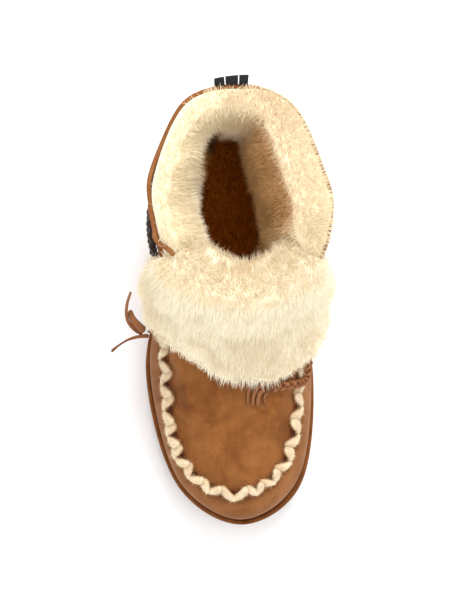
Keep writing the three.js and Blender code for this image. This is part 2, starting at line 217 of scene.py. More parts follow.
def roughness(places, size, depth, seed, octaves=3):
    # Soft noise of that depth over features of that size, both in millimetres
    shift = Vector((seed * 7.3, seed * 3.1, seed * 5.7))
    scale = 1 / (size * mm)
    values = [noise.fractal(Vector(p) * scale + shift, 1.0, 2.0, octaves) for p in places]
    return depth * np.array(values)


# Loops run round the boot from the sole up to the rim. Each passes through ten points: the toe's tip,
# four stations down the inner side, the back, and the same four up the outer side.
boot = {
    "soleLength": 262, "ballHalf": 51.5, "heelRadius": 38, "heelHeight": 24, "ballHeight": 16,
    "toeSpring": 8, "archRise": 3, "shaftHeight": 125, "gap": 0.35, "tipCentre": 5.6,
}
stations = {
    "toe": {"along": 0.905, "centre": 4.3, "swing": 0},
    "ball": {"along": 0.65, "centre": -1.2, "swing": -0.7},
    "waist": {"along": 0.42, "centre": -3.4, "swing": 0.3},
    "heel": {"along": 0.085, "centre": 0, "swing": 1},
}
ringColumns = [
    "name", "front", "back", "toe", "ball", "waist", "heel",
    "nose", "corner", "side", "rear", "curve", "swing", "wall",
]
ringRows = [
    ["feather", 0.984, 0.017, 0.655, 0.915, 0.705, 0.62, 0, 0, 0, 0, 1, 0, 7],
    ["lowWall", 0.987, 0.013, 0.705, 0.95, 0.755, 0.645, 0.064, 0.064, 0.064, 0.064, 0.85, 0, 9],
    ["highWall", 0.977, 0.013, 0.7, 0.935, 0.795, 0.65, 0.16, 0.165, 0.18, 0.15, 0.6, 0, 10.5],
    ["seam", 0.94, 0.017, 0.66, 0.842, 0.825, 0.64, 0.222, 0.25, 0.28, 0.23, 0.15, 0.6, 11],
    ["apronEdge", 0.88, 0.021, 0.55, 0.775, 0.82, 0.63, 0.3, 0.312, 0.336, 0.3, 0.15, 0, 11],
    ["dome", 0.82, 0.029, 0.49, 0.785, 0.835, 0.62, 0.362, 0.376, 0.4, 0.365, 0.15, -0.8, 11.5],
    ["throat", 0.725, 0.037, 0.5, 0.815, 0.845, 0.59, 0.405, 0.43, 0.466, 0.44, 0.15, -1.2, 13],
    ["instep", 0.615, 0.046, 0.58, 0.855, 0.865, 0.56, 0.5, 0.505, 0.52, 0.525, 0.15, -1.6, 15.5],
    ["ankle", 0.553, 0.051, 0.63, 0.895, 0.885, 0.565, 0.614, 0.62, 0.635, 0.65, 0.15, -1.9, 16.5],
    ["shaft", 0.515, 0.051, 0.69, 0.94, 0.915, 0.58, 0.74, 0.74, 0.765, 0.79, 0.15, -2.1, 16.5],
    ["collar", 0.496, 0.048, 0.72, 0.98, 0.945, 0.595, 0.81, 0.84, 0.885, 0.91, 0.2, -2.1, 15.5],
    ["rim", 0.489, 0.046, 0.75, 1.003, 0.957, 0.603, 0.855, 0.905, 0.965, 1, 0.2, -2.0, 13.5],
]
rings = [dict(zip(ringColumns, row)) for row in ringRows]
level = {ring["name"]: i for i, ring in enumerate(rings)}
soleHalf = {"toe": 38.3, "ball": 51.5, "waist": 40, "heel": 35.6}


def springAt(s):
    share = np.maximum(0, (s - 206) / (boot["soleLength"] - 206))
    return boot["toeSpring"] * share**2


def soleBottom(s):
    arch = softStep(s, 68, 90) - softStep(s, 118, 138)
    return springAt(s) + boot["archRise"] * arch + 1.6 * (1 - softStep(s, 0, 9))


def soleTop(s):
    drop = (boot["heelHeight"] - boot["ballHeight"]) * softStep(s, 60, 172)
    return boot["heelHeight"] - drop + springAt(s)


def loopPoints(halves, front, back, curve, swing, heightAt):
    def place(along, x, station):
        s = back + along * (front - back)
        return (x, boot["heelRadius"] - s, float(heightAt(s, station)))

    def flank(name, side):
        row = stations[name]
        return place(row["along"], side * halves[name] + curve * row["centre"] + swing * row["swing"], name)

    inner = [flank(name, 1) for name in stations]
    outer = [flank(name, -1) for name in reversed(stations)]
    tip = place(1, curve * boot["tipCentre"], "tip")
    return np.array([tip, *inner, place(0, swing, "back"), *outer])


def ringPoints(ring):
    rises = {
        "tip": ring["nose"], "toe": ring["corner"], "ball": ring["side"], "waist": ring["side"],
        "heel": 0.3 * ring["side"] + 0.7 * ring["rear"], "back": ring["rear"],
    }
    halves = {name: ring[name] * boot["ballHalf"] for name in stations}
    ends = (ring["front"] * boot["soleLength"], ring["back"] * boot["soleLength"])

    def heightAt(s, station):
        return soleTop(s) + boot["gap"] + rises[station] * boot["shaftHeight"]

    return loopPoints(halves, *ends, ring["curve"], ring["swing"], heightAt)


ringLoops = np.stack([ringPoints(ring) for ring in rings])


def closedCurve(loops, turn):
    # Points at turn on each closed loop, an array of loops x points x 3
    count = loops.shape[-2]
    place = (turn % 1) * count
    i = np.floor(place).astype(int) % count
    t = (place - np.floor(place))[:, None]
    weights = (
        (-t + 2 * t**2 - t**3) / 2, (2 - 5 * t**2 + 3 * t**3) / 2,
        (t + 4 * t**2 - 3 * t**3) / 2, (t**3 - t**2) / 2,
    )
    return sum(w * loops[..., (i + k - 1) % count, :] for k, w in enumerate(weights))


def through(before, start, end, after, t):
    # A centripetal curve from start to end
    pairs = ((before, start), (start, end), (end, after))
    gaps = [np.linalg.norm(b - a, axis=-1, keepdims=True) ** 0.5 for a, b in pairs]
    d0, d1, d2 = [np.maximum(gap, 1e-6) for gap in gaps]
    leave = ((start - before) / d0 - (end - before) / (d0 + d1) + (end - start) / d1) * d1
    arrive = ((end - start) / d1 - (after - start) / (d1 + d2) + (after - end) / d2) * d1
    bend = -3 * start + 3 * end - 2 * leave - arrive
    return start + t * (leave + t * (bend + t * (2 * start - 2 * end + leave + arrive)))


def outside(turn, height):
    # turn runs once round from the toe, down the inner side, and height counts in rings
    turn, height = np.broadcast_arrays(np.atleast_1d(turn).astype(float), height)
    columns = np.moveaxis(closedCurve(ringLoops, turn), 0, 1)
    top = len(rings) - 1
    height = np.clip(height, 0, top)
    k = np.minimum(np.floor(height).astype(int), top - 1)
    every = np.arange(len(turn))
    start = columns[every, k]
    end = columns[every, k + 1]
    before = np.where((k > 0)[:, None], columns[every, np.maximum(k - 1, 0)], 2 * start - end)
    after = np.where((k < top - 1)[:, None], columns[every, np.minimum(k + 2, top)], 2 * end - start)
    return through(before, start, end, after, (height - k)[:, None])


def outward(turn, height, turnReach=0.025, heightReach=0.9):
    low = np.maximum(0, height - heightReach)
    high = np.minimum(level["rim"], height + heightReach)
    around = outside(turn + turnReach, height) - outside(turn - turnReach, height)
    return unit(np.cross(around, outside(turn, high) - outside(turn, low)))


def proud(turn, height, distance):
    turn, height, distance = np.broadcast_arrays(np.atleast_1d(turn).astype(float), height, distance)
    return (outside(turn, height) + outward(turn, height) * distance[:, None]) * mm


def wallAt(height):
    return np.interp(height, range(len(rings)), [ring["wall"] for ring in rings])


def lengthAlong(height, first, last, count=600):
    turns = np.linspace(first, last, count)
    line = outside(turns, np.full(count, float(height)))
    steps = np.linalg.norm(np.diff(line, axis=0), axis=1)
    return turns, np.concatenate([[0], np.cumsum(steps)])


# Cords, braids and strips
def smoothRoute(route, count=60):
    # Evenly spaced points, in metres, on a centripetal curve through a route of x, s and height
    knots = np.array([(x, boot["heelRadius"] - s, z) for x, s, z in route], dtype=float)
    knots = np.vstack([2 * knots[0] - knots[1], knots, 2 * knots[-1] - knots[-2]])
    t = np.linspace(0, 1, 24, endpoint=False)[:, None]
    parts = [through(*(row[None] for row in knots[i : i + 4]), t) for i in range(len(knots) - 3)]
    line = np.vstack([*parts, knots[-2][None]])
    return spaced(line * mm, count)


def spaced(line, count):
    along = np.concatenate([[0], np.cumsum(np.linalg.norm(np.diff(line, axis=0), axis=1))])
    at = np.linspace(0, along[-1], count)
    return np.stack([np.interp(at, along, line[:, axis]) for axis in range(line.shape[1])], axis=1)


def lengthOf(line):
    return float(np.linalg.norm(np.diff(line, axis=0), axis=1).sum())


def tubeAlong(name, line, ups, section, rows=40, sides=10):
    # section(u, angle) gives each point's place across, out and ahead of the line, in millimetres
    ups = np.broadcast_to(np.asarray(ups, dtype=float), line.shape)
    tangents = unit(np.gradient(line, axis=0))
    across = unit(np.cross(tangents, ups))
    out = np.cross(across, tangents)
    marks = np.linspace(0, 1, len(line))

    def pickAt(values, u):
        return np.stack([np.interp(u, marks, values[:, axis]) for axis in range(3)], axis=1)

    def place(u, v):
        share = 0.5 - 0.5 * np.cos(np.pi * u)
        sideways, outwards = section(share, 2 * np.pi * v)
        shift = pickAt(across, share) * sideways[:, None] + pickAt(out, share) * outwards[:, None]
        return pickAt(line, share) + shift * mm

    tube = shapedGrid(name, (0, 1, rows), (0, 1, sides), place)
    editAll(tube, mergeDoubles, faceOut)
    return tube


def blunt(u, length, radius):
    # 0 at both ends of a strand and 1 within a rounded end of that radius
    left = np.minimum(u, 1 - u) * length / radius
    return np.sqrt(np.clip(1 - (1 - np.clip(left, 0, 1)) ** 2, 0, 1))


def braid(name, line, ups, spec):
    # Three flat strips laid over each other in turn
    length = lengthOf(line) / mm
    strips = []
    for ply in range(3):
        def section(u, angle):
            turn = 2 * np.pi * (u * length / spec["pitch"] + ply / 3)
            ends = blunt(u, length, spec["halfWidth"])
            narrow = 1 - 0.25 * np.cos(turn) ** 2
            sideways = spec["reach"] * np.sin(turn) * ends
            outwards = spec["depth"] * np.sin(2 * turn) * ends
            return (
                sideways + ends * spec["halfWidth"] * narrow * np.cos(angle),
                outwards + ends * spec["halfHeight"] * np.sin(angle),
            )

        strips.append(tubeAlong(name, line, ups, section, spec["rows"], spec["sides"]))
    return join(name, strips)


def strip(name, line, ups, spec):
    # One flat strip with round ends, which may taper and twist
    length = lengthOf(line) / mm

    def section(u, angle):
        ends = blunt(u, length, spec["halfWidth"] * 0.8)
        taper = 1 + (spec["tip"] - 1) * u
        turn = math.radians(spec["twist"]) * u
        flat = spec["halfWidth"] * taper * ends * np.cos(angle)
        tall = spec["halfHeight"] * ends * np.sin(angle)
        return flat * np.cos(turn) - tall * np.sin(turn), flat * np.sin(turn) + tall * np.cos(turn)

    return tubeAlong(name, line, ups, section, spec["rows"], 10)


laceBraid = {
    "diameter": 5.5, "pitch": 14, "reach": 1.35, "depth": 1.0, "halfWidth": 1.5, "halfHeight": 0.95,
    "rows": 120, "sides": 10,
}
tasselStrip = {"halfWidth": 1.4, "halfHeight": 0.75, "tip": 1.1, "twist": 25, "rows": 20}
laceRoutes = {
    "inner": [
        (46.4, 128, 74), (47.8, 140, 66.4), (47.8, 150, 60), (46.4, 158, 56.6), (45.2, 164, 56),
        (44.8, 169, 55.8), (43.8, 173.2, 57), (41, 176.2, 60.6), (36.1, 177.8, 68.2),
        (30.6, 178.6, 71.6), (25.5, 179.6, 72.3), (21.2, 180.2, 72.4),
    ],
    "outer": [(-47.4, 112, 80), (-49.3, 121, 75), (-50.3, 130, 70), (-50.1, 139, 65.5), (-49.5, 147.5, 61.5)],
}
tasselRoutes = {
    "inner": [
        [(17.2, 177.6, 73.4), (13.6, 179.8, 72.3), (11.2, 184, 70.7), (10.6, 188, 69.3), (10.6, 191, 68.4)],
        [(17.4, 180.6, 72.4), (15.2, 182.8, 71.2), (14, 186, 70), (13.6, 191.3, 68.2)],
        [(19.6, 182.9, 71.2), (17.8, 184.6, 70.2), (17.5, 187, 69.3), (18.4, 189.5, 68.4)],
        [(13.6, 175.6, 74), (9.7, 178.6, 72.9), (7.8, 183, 71.4), (7.6, 187, 70), (7.7, 190, 69)],
    ],
    "outer": [
        [
            (-51, 148.8, 60.6), (-56.6, 149.2, 61.6), (-63, 150.9, 59.8), (-69, 154.2, 55.2),
            (-73.5, 157.6, 49.8),
        ],
        [
            (-53.5, 146.4, 64.4), (-56.9, 143.4, 65), (-60, 140, 64.8), (-61.6, 137, 64.2),
            (-62.4, 133.5, 63.4),
        ],
        [(-54.8, 147.6, 58.8), (-60, 144.6, 60.6), (-64, 139, 64), (-64.2, 131, 67.4), (-61.8, 123, 69.6)],
    ],
}
tasselShapes = {
    # how each strip of a tassel differs from tasselStrip
    "inner": [
        {"halfWidth": 1.3, "tip": 0.8}, {"halfWidth": 1.5, "tip": 0.85}, {"halfWidth": 1.0, "tip": 0.7},
        {"halfWidth": 1.05, "tip": 0.8},
    ],
    "outer": [
        {"halfWidth": 1.2, "halfHeight": 0.6, "tip": 0.9, "twist": 150},
        {"halfWidth": 2.6, "halfHeight": 0.8, "tip": 0.75, "twist": 40},
        {"halfWidth": 1.2, "halfHeight": 0.7, "tip": 0.8, "twist": 60},
    ],
}


def makeTassel(side, number, material):
    spec = {**tasselStrip, **tasselShapes[side][number]}
    path = smoothRoute(tasselRoutes[side][number], 24)
    tassel = strip(f"tassel{side.title()}{number + 1}", path, (0, 0, 1), spec)
    smooth(tassel)
    # a darker tone of the strips' own, plus painted shade on their sides that face away from above
    crevice = 1 - softStep(normalsOf(tassel)[:, 2], 0.35, 0.85)
    setNumbers(tassel, "shade", 0.3 + 0.6 * crevice)
    return keep(tassel, "lace_suede", f"tassel_{side}_{number + 1}", material=material)


def makeLaces(material):
    for side, route in laceRoutes.items():
        line = smoothRoute(route, 80)
        away = unit(line - np.array([0, line[:, 1].mean(), 0.03]))
        lace = braid("lace" + side.title(), line, away, laceBraid)
        smooth(lace)
        # painted shade, darker where the strips dip in towards the middle of the braid
        reach = np.linalg.norm(points(lace)[:, None] - line[None, ::2], axis=2).min(axis=1) / mm
        setNumbers(lace, "shade", 0.9 * (1 - softStep(reach, 1.2, 2.2)))
        keep(lace, "lace_suede", "lace_" + side, material=material)
        tassels = [makeTassel(side, number, material) for number in range(len(tasselRoutes[side]))]
    print("laces and tassels made")


# Helpers that build materials
def addNode(tree, kind, inputs=(), **settings):
    node = tree.nodes.new(kind)
    for name, value in settings.items():
        setattr(node, name, value)
    for socket, value in dict(inputs).items():
        if isinstance(value, bpy.types.NodeSocket):
            tree.links.new(value, node.inputs[socket])
        else:
            node.inputs[socket].default_value = value
    return node


def newMaterial(name, **sockets):
    material = bpy.data.materials.new(name)
    material.use_nodes = True
    tree = material.node_tree
    shader = tree.nodes["Principled BSDF"]
    for socket, value in sockets.items():
        shader.inputs[socket.replace("_", " ")].default_value = value
    return material, tree, shader


def noiseOf(tree, size, detail=3, rough=0.55, stretch=(1, 1, 1), distortion=0):
    # Noise with features of that size in millimetres, on the object's own coordinates
    coordinates = addNode(tree, "ShaderNodeTexCoord").outputs["Object"]
    scale = tuple(1 / (size * mm * x) for x in stretch)
    mapping = addNode(tree, "ShaderNodeMapping", {"Vector": coordinates, "Scale": scale})
    shape = {"Detail": detail, "Roughness": rough, "Distortion": distortion}
    return addNode(tree, "ShaderNodeTexNoise", {"Vector": mapping.outputs[0], "Scale": 1, **shape}).outputs[0]


def rampOf(tree, value, *stops):
    ramp = addNode(tree, "ShaderNodeValToRGB", {"Fac": value})
    elements = ramp.color_ramp.elements
    while len(elements) < len(stops):
        elements.new(0.5)
    for element, (place, colour) in zip(elements, stops):
        element.position = place
        element.color = (*colour, 1) if hasattr(colour, "__len__") else (colour, colour, colour, 1)
    return ramp.outputs[0]


def mixOf(tree, share, a, b, blend="MIX"):
    node = addNode(tree, "ShaderNodeMix", data_type="RGBA", blend_type=blend)
    for index, value in ((0, share), (6, a), (7, b)):
        if isinstance(value, bpy.types.NodeSocket):
            tree.links.new(value, node.inputs[index])
        elif index == 0:
            node.inputs[index].default_value = value
        else:
            node.inputs[index].default_value = (*value, 1)
    return node.outputs[2]


def mathOf(tree, operation, a, b=0.0):
    return addNode(tree, "ShaderNodeMath", {0: a, 1: b}, operation=operation).outputs[0]


def bumpsOf(tree, shader, *layers):
    # Layers of height, strength and depth in millimetres, laid over each other
    normal = None
    for height, strength, depth in layers:
        inputs = {"Height": height, "Strength": strength, "Distance": depth * mm}
        if normal:
            inputs["Normal"] = normal
        normal = addNode(tree, "ShaderNodeBump", inputs).outputs[0]
    tree.links.new(normal, shader.inputs["Normal"])


def attributeOf(tree, name):
    return addNode(tree, "ShaderNodeAttribute", attribute_name=name).outputs["Fac"]


suedes = {
    # dark, middle and light tones, and how strongly the brushed nap shows
    "wall": {"tones": [(0.175, 0.063, 0.018), (0.25, 0.098, 0.032), (0.315, 0.132, 0.047)], "nap": 0.4},
    "apron": {"tones": [(0.15, 0.047, 0.011), (0.228, 0.082, 0.021), (0.28, 0.109, 0.031)], "nap": 0.8},
    "shaft": {"tones": [(0.16, 0.056, 0.016), (0.23, 0.087, 0.027), (0.29, 0.116, 0.04)], "nap": 0.7},
    "lace": {"tones": [(0.2, 0.078, 0.03), (0.29, 0.122, 0.05), (0.42, 0.2, 0.09)], "nap": 0.9},
}


def suedeMaterial(name):
    spec = suedes[name]
    material, tree, shader = newMaterial(
        name + "Suede", Roughness=0.95, Specular_IOR_Level=0.12,
        Sheen_Weight=0.1, Sheen_Roughness=0.5, Sheen_Tint=(1, 0.8, 0.62, 1),
    )
    blotches = noiseOf(tree, 26, 4, 0.62, distortion=0.6)
    brushed = noiseOf(tree, 7, 5, 0.65, stretch=(1, 1.8, 1))
    grain = noiseOf(tree, 0.9, 4, 0.7)
    tones = rampOf(tree, blotches, *zip((0.3, 0.5, 0.7), spec["tones"]))
    streaks = rampOf(tree, brushed, (0.32, 0.3), (0.68, 0.72))
    colour = mixOf(tree, 0.35 * spec["nap"], tones, streaks, "OVERLAY")
    fleck = rampOf(tree, grain, (0.3, 0.36), (0.7, 0.64))
    colour = mixOf(tree, 0.45, colour, fleck, "OVERLAY")
    # painted shade: the attribute shade darkens the suede towards a reddish brown in gaps, crevices, on the
    # outer side and low by the sole
    shaded = mixOf(tree, 1.0, colour, (0.48, 0.27, 0.2), "MULTIPLY")
    withPaintedShade = mixOf(tree, attributeOf(tree, "shade"), colour, shaded)
    tree.links.new(withPaintedShade, shader.inputs["Base Color"])
    bumpsOf(tree, shader, (brushed, 0.25, 0.5), (grain, 0.5, 0.18))
    return material


stitching = {
    # the teeth's middles in millimetres along the seam from the toe, and how far up the apron they reach
    "inner": [
        (9.3, 9.6), (19.5, 9.0), (33.3, 9.8), (51, 10.9), (68, 12.2), (84, 14.2), (99, 15), (114, 15),
        (129, 15),
    ],
    "outer": [
        (10, 9.2), (23, 8.6), (38, 9.6), (52, 8.9), (66.5, 9.0), (82.5, 10.6), (97.5, 14.2), (112.5, 15),
        (128, 15),
    ],
    "pitchBeyond": 15, "fineSteps": 2400,
}
seamTurns, seamLengths = lengthAlong(level["seam"], -0.5, 0.5, stitching["fineSteps"])
seamLengths = seamLengths - np.interp(0, seamTurns, seamLengths)
seamLine = outside(seamTurns, np.full(stitching["fineSteps"], float(level["seam"])))
seamAhead = unit(np.gradient(seamLine, axis=0))
outerTeeth = [(-along, reach) for along, reach in reversed(stitching["outer"])]
teeth = np.array(outerTeeth + stitching["inner"])
firstTooth = -len(outerTeeth)


def fromToe(turn):
    # the same turn counted from -0.5 to 0.5
    return (turn + 0.5) % 1 - 0.5


def nearFront(turn):
    return 1 - softStep(np.abs(fromToe(turn)), 0.24, 0.3)


def onSeam(table, along):
    return np.stack([np.interp(along, seamLengths, table[:, k]) for k in range(3)], axis=1)


def acrossFromSeam(turn, height):
    # How far along the seam a spot lies, square to it, and how far away, both in millimetres
    here = outside(turn, height)
    along = np.interp(fromToe(turn), seamTurns, seamLengths)
    for _ in range(4):
        ahead = np.sum((here - onSeam(seamLine, along)) * onSeam(seamAhead, along), axis=1)
        along = along + np.clip(ahead, -12, 12)
    return along, np.linalg.norm(here - onSeam(seamLine, along), axis=1)


def toothPhase(along):
    # Whole numbers in the gaps between the teeth, counted from the toe
    first = firstTooth + 0.5
    phase = np.interp(along, teeth[:, 0], first + np.arange(len(teeth)))
    beyond = np.maximum(0, along - teeth[-1, 0]) - np.maximum(0, teeth[0, 0] - along)
    return phase + beyond / stitching["pitchBeyond"]


def reachAt(along):
    return np.interp(along, teeth[:, 0], teeth[:, 1])


creases = [
    # a soft trough from one place to another, each a turn and a height
    {"from": (0.235, 6.6), "to": (0.31, 5.4), "depth": 1.6, "width": 5.0},
    {"from": (0.30, 7.6), "to": (0.385, 6.4), "depth": 1.3, "width": 5.0},
    {"from": (0.765, 6.5), "to": (0.69, 5.4), "depth": 1.5, "width": 5.0},
    {"from": (0.70, 7.7), "to": (0.61, 6.5), "depth": 1.4, "width": 5.0},
    {"from": (0.245, 4.2), "to": (0.33, 3.2), "depth": 0.9, "width": 6.0},
    {"from": (0.755, 4.2), "to": (0.67, 3.2), "depth": 0.9, "width": 6.0},
    {"from": (0.40, 8.4), "to": (0.46, 7.9), "depth": 1.1, "width": 5.0},
    {"from": (0.60, 8.6), "to": (0.54, 8.0), "depth": 1.1, "width": 5.0},
]


def creaseRelief(turn, height):
    here = outside(turn, height)
    relief = np.zeros(len(here))
    for crease in creases:
        start, end = np.array(crease["from"]), np.array(crease["to"])
        steps = np.linspace(0, 1, 14)
        route = start + (end - start) * steps[:, None]
        line = outside(route[:, 0], route[:, 1])
        reach = np.linalg.norm(here[:, None, :] - line[None], axis=2)
        nearest = reach.argmin(axis=1)
        ends = np.sin(np.pi * steps[nearest]) ** 0.7
        share = reach[np.arange(len(here)), nearest] / crease["width"]
        relief += crease["depth"] * ends * (0.45 * np.exp(-((share - 1.7) ** 2) * 2) - np.exp(-(share**2)))
    return relief


def softWaves(turn, height, depth):
    waves = np.sin(2 * np.pi * (turn * 5 + 0.2 * height)) * np.sin(0.9 * height + 1.3)
    return depth * (waves + 0.6 * np.sin(2 * np.pi * (turn * 9 - 0.13 * height) + 2))


def gatherAt(turn, height):
    # The distance from the seam, the teeth's reach there, and 1 in the gaps between them
    along, distance = acrossFromSeam(turn, height)
    return distance, reachAt(along), 0.5 + 0.5 * np.cos(2 * np.pi * toothPhase(along))


def wallRelief(turn, height):
    distance, _, valley = gatherAt(turn, height)
    front = nearFront(turn)
    gather = 0.8 * (valley - 0.5) * np.exp(-distance / 6) * front
    roll = -(0.9 + 1.9 * valley) * np.exp(-((distance / 2.0) ** 2)) * front
    folds = creaseRelief(turn, height) + softWaves(turn, height, 0.25)
    return (gather + roll) * softStep(height, 0.6, 1.6) + softStep(height, 0.3, 2) * folds


def apronRelief(turn, height):
    distance, reach, valley = gatherAt(turn, height)
    pucker = -(0.7 + 1.5 * valley) * np.exp(-((distance / 4.5) ** 2))
    pinch = -0.7 * (1 - valley) ** 3 * np.exp(-(((distance - reach) / 2.4) ** 2))
    swell = 0.8 * np.exp(-(((distance - reach - 3) / 7) ** 2)) * (0.6 + 0.4 * valley)
    return pucker + pinch + swell + softWaves(turn, height, 0.35)


def shaftRelief(turn, height):
    return creaseRelief(turn, height) + softWaves(turn, height, 0.45)


def apronShade(turn, height):
    # Painted shade: darker beside the seam, most of all in the gaps between the teeth, with a fainter band
    # further out
    distance, reach, valley = gatherAt(turn, height)
    gap = np.exp(-((distance / (0.64 * reach)) ** 6)) * (0.2 + 0.8 * valley**2)
    halo = 0.2 * np.exp(-((distance / (1.35 * reach)) ** 2)) * (0.6 + 0.4 * valley)
    return np.clip(gap + halo, 0, 1)


def wallShade(turn, height):
    # Painted shade: under the stitches' outer edge at the front, over the outer side of the boot, and low
    # down by the sole
    distance = gatherAt(turn, height)[0]
    seam = 0.5 * np.exp(-((distance / 2.4) ** 2)) * nearFront(turn)
    outer = 0.22 * softStep(turn % 1, 0.62, 0.7) * (1 - softStep(turn % 1, 0.84, 0.93))
    return seam + outer + 0.8 * (1 - softStep(height, 0.1, 0.55))


def noShade(turn, _):
    return np.zeros(len(turn))


def skin(name, patches, relief, shade, thickness):
    parts = []
    for turns, heights in patches:
        shades = []

        def place(turn, height):
            shades.append(shade(turn, height))
            return proud(turn, height, relief(turn, height))

        part = shapedGrid(name, turns, heights, place)
        setNumbers(part, "shade", shades[0])
        parts.append(part)
    piece = join(name, parts)
    editAll(piece, mergeDoubles)
    modify(piece, "SOLIDIFY", thickness=thickness * mm, offset=-1, use_even_offset=True)
    smooth(piece)
    return piece


panels = {
    "thickness": 2.2, "shaftExtra": 0.3, "columns": 448, "perRing": 9,
    "apronColumns": 260, "apronRows": 48, "shaftColumns": 320, "shaftRows": 32,
}


def makeWall(material):
    columns = panels["columns"]
    rows = panels["perRing"]
    low = ((0, 1, columns), (0, 3, 3 * rows))
    rear = ((0.25, 0.75, columns // 2), (3, 7, 4 * rows))
    piece = skin("wallSuede", [low, rear], wallRelief, wallShade, panels["thickness"])
    keep(piece, "wall_suede", "upper", material=material)
    print("wall made")


def makeApron(material):
    patch = ((-0.25, 0.25, panels["apronColumns"]), (3, 7, panels["apronRows"]))
    piece = skin("apronSuede", [patch], apronRelief, apronShade, panels["thickness"])
    keep(piece, "apron_suede", "apron", material=material)
    print("apron made")


collarEdge = {
    # the collar's bare edge runs along the rim, then curls in over the flap's corner, in millimetres
    "rimTurns": (0.775, 0.825),
    "curl": [
        (-48.3, -59.5, 143), (-46.2, -62.8, 142.6), (-42.2, -65.4, 143.6), (-39, -67.6, 144.6),
        (-37.3, -70.4, 145),
    ],
    "inset": 1.1, "rounding": 6, "halfWidth": 1.4, "halfHeight": 1.1, "tip": 0.95, "twist": 0, "rows": 60,
}


def makeCollarEdge():
    turns = np.linspace(*collarEdge["rimTurns"], 6)
    rim = proud(turns, np.full(6, float(level["rim"])), -collarEdge["inset"])
    line = spaced(np.vstack([rim, np.array(collarEdge["curl"]) * mm]), collarEdge["rows"])
    for _ in range(collarEdge["rounding"]):
        line[1:-1] = 0.25 * line[:-2] + 0.5 * line[1:-1] + 0.25 * line[2:]
    edge = strip("collarEdge", line, (0, 0, 1), collarEdge)
    setNumbers(edge, "shade", np.zeros(len(points(edge))))
    return edge


def makeShaft(material):
    patch = ((0, 1, panels["shaftColumns"]), (7, 11, panels["shaftRows"]))
    piece = skin("shaftSuede", [patch], shaftRelief, noShade, panels["thickness"] + panels["shaftExtra"])
    piece = join("shaftSuede", [piece, makeCollarEdge()])
    smooth(piece)
    keep(piece, "shaft_suede", "shaft", material=material)
    print("shaft made")


yarn = {
    # a strand from its outer end to its tip: shares of a tooth along the seam from its middle, shares of
    # the tooth's reach, and half widths in millimetres, at the toe and along the sides
    "toe": {
        "spine": [(-0.58, 0.12), (-0.47, 0.19), (-0.31, 0.36), (-0.17, 0.55), (-0.05, 0.7), (0.03, 0.78)],
        "half": [1.6, 2.0, 2.4, 2.5, 2.35, 1.95],
    },
    "side": {
        "spine": [(-0.54, 0.2), (-0.45, 0.2), (-0.31, 0.27), (-0.19, 0.46), (-0.08, 0.68), (-0.01, 0.78)],
        "half": [1.4, 1.8, 2.75, 3.1, 2.85, 2.3],
    },
    "thick": [0.9, 1.3, 1.9, 2.1, 2.0, 1.6], "start": {"toe": -1.0, "inner": -0.6, "outer": -2.2},
    "toeToSide": (12, 50), "leastPitch": 9.0,
    "rows": 26, "around": 16, "fineSteps": 40, "overTip": 1.3, "overEnd": 0.6, "seed": 5,
    "fuzz": {
        "perSquareMm": 2.0, "seed": 41, "uneven": 0.5, "lean": 0.1, "jitter": 1.1,
        "halfWidth": 0.09, "clump": (3, 0.1), "curlSize": 4, "curl": 1.2, "droop": 0.0, "pile": 1.7,
    },
}
squares = {"reach": 150, "columns": 151, "rows": 50, "below": 0.5, "above": 2.8}
squareAlong = np.linspace(-squares["reach"], squares["reach"], squares["columns"])
squareHeights = level["seam"] + np.linspace(-squares["below"], squares["above"], squares["rows"])


def squareTables():
    # Turns and distances of the places that lie square to the seam
    shape = (squares["columns"], squares["rows"])
    along = np.repeat(squareAlong, squares["rows"])
    heights = np.tile(squareHeights, squares["columns"])
    turn = np.interp(along, seamLengths, seamTurns)
    speed = np.interp(along, seamLengths, np.gradient(seamLengths, seamTurns))
    foot, ahead = onSeam(seamLine, along), onSeam(seamAhead, along)
    for _ in range(8):
        turn = turn - np.sum((outside(turn, heights) - foot) * ahead, axis=1) / speed
    distance = np.linalg.norm(outside(turn, heights) - foot, axis=1) * np.sign(heights - level["seam"])
    return turn.reshape(shape), distance.reshape(shape)


squareTurns, squareReach = squareTables()


def squareTo(along, distance):
    # The turn and height of the place that far along the seam and that far up from it
    step = 2 * squares["reach"] / (squares["columns"] - 1)
    row = np.clip((along + squares["reach"]) / step, 0, squares["columns"] - 1.001)
    low = np.floor(row).astype(int)
    found = []
    for k in (0, 1):
        height = [np.interp(d, squareReach[i], squareHeights) for d, i in zip(distance, low + k)]
        turn = [np.interp(d, squareReach[i], squareTurns[i]) for d, i in zip(distance, low + k)]
        found.append(np.array([turn, height]))
    return found[0] * (1 - (row - low)) + found[1] * (row - low)


def strandLine(tooth, side, spec):
    # A strand's line on the seam's squares, from its outer end to the tooth's tip, and its half widths
    middle, reach = teeth[tooth]
    edge = 0.5 * (middle + teeth[min(max(tooth - side, 0), len(teeth) - 1), 0])
    pitch = max(2 * abs(middle - edge), yarn["leastPitch"])
    sideways = softStep(abs(middle), *yarn["toeToSide"])
    spine, halves = [
        np.array(yarn["toe"][part]) * (1 - sideways) + np.array(yarn["side"][part]) * sideways
        for part in ("spine", "half")
    ]
    flank = "inner" if middle > 0 else "outer"
    start = yarn["start"]["toe"] * (1 - sideways) + yarn["start"][flank] * sideways
    along = (spine[:, 0] + spec["lean"] * spine[:, 1]) * pitch
    away = start + spine[:, 1] * (reach * spec["grow"] - start)
    return np.stack([along, away], axis=1), halves


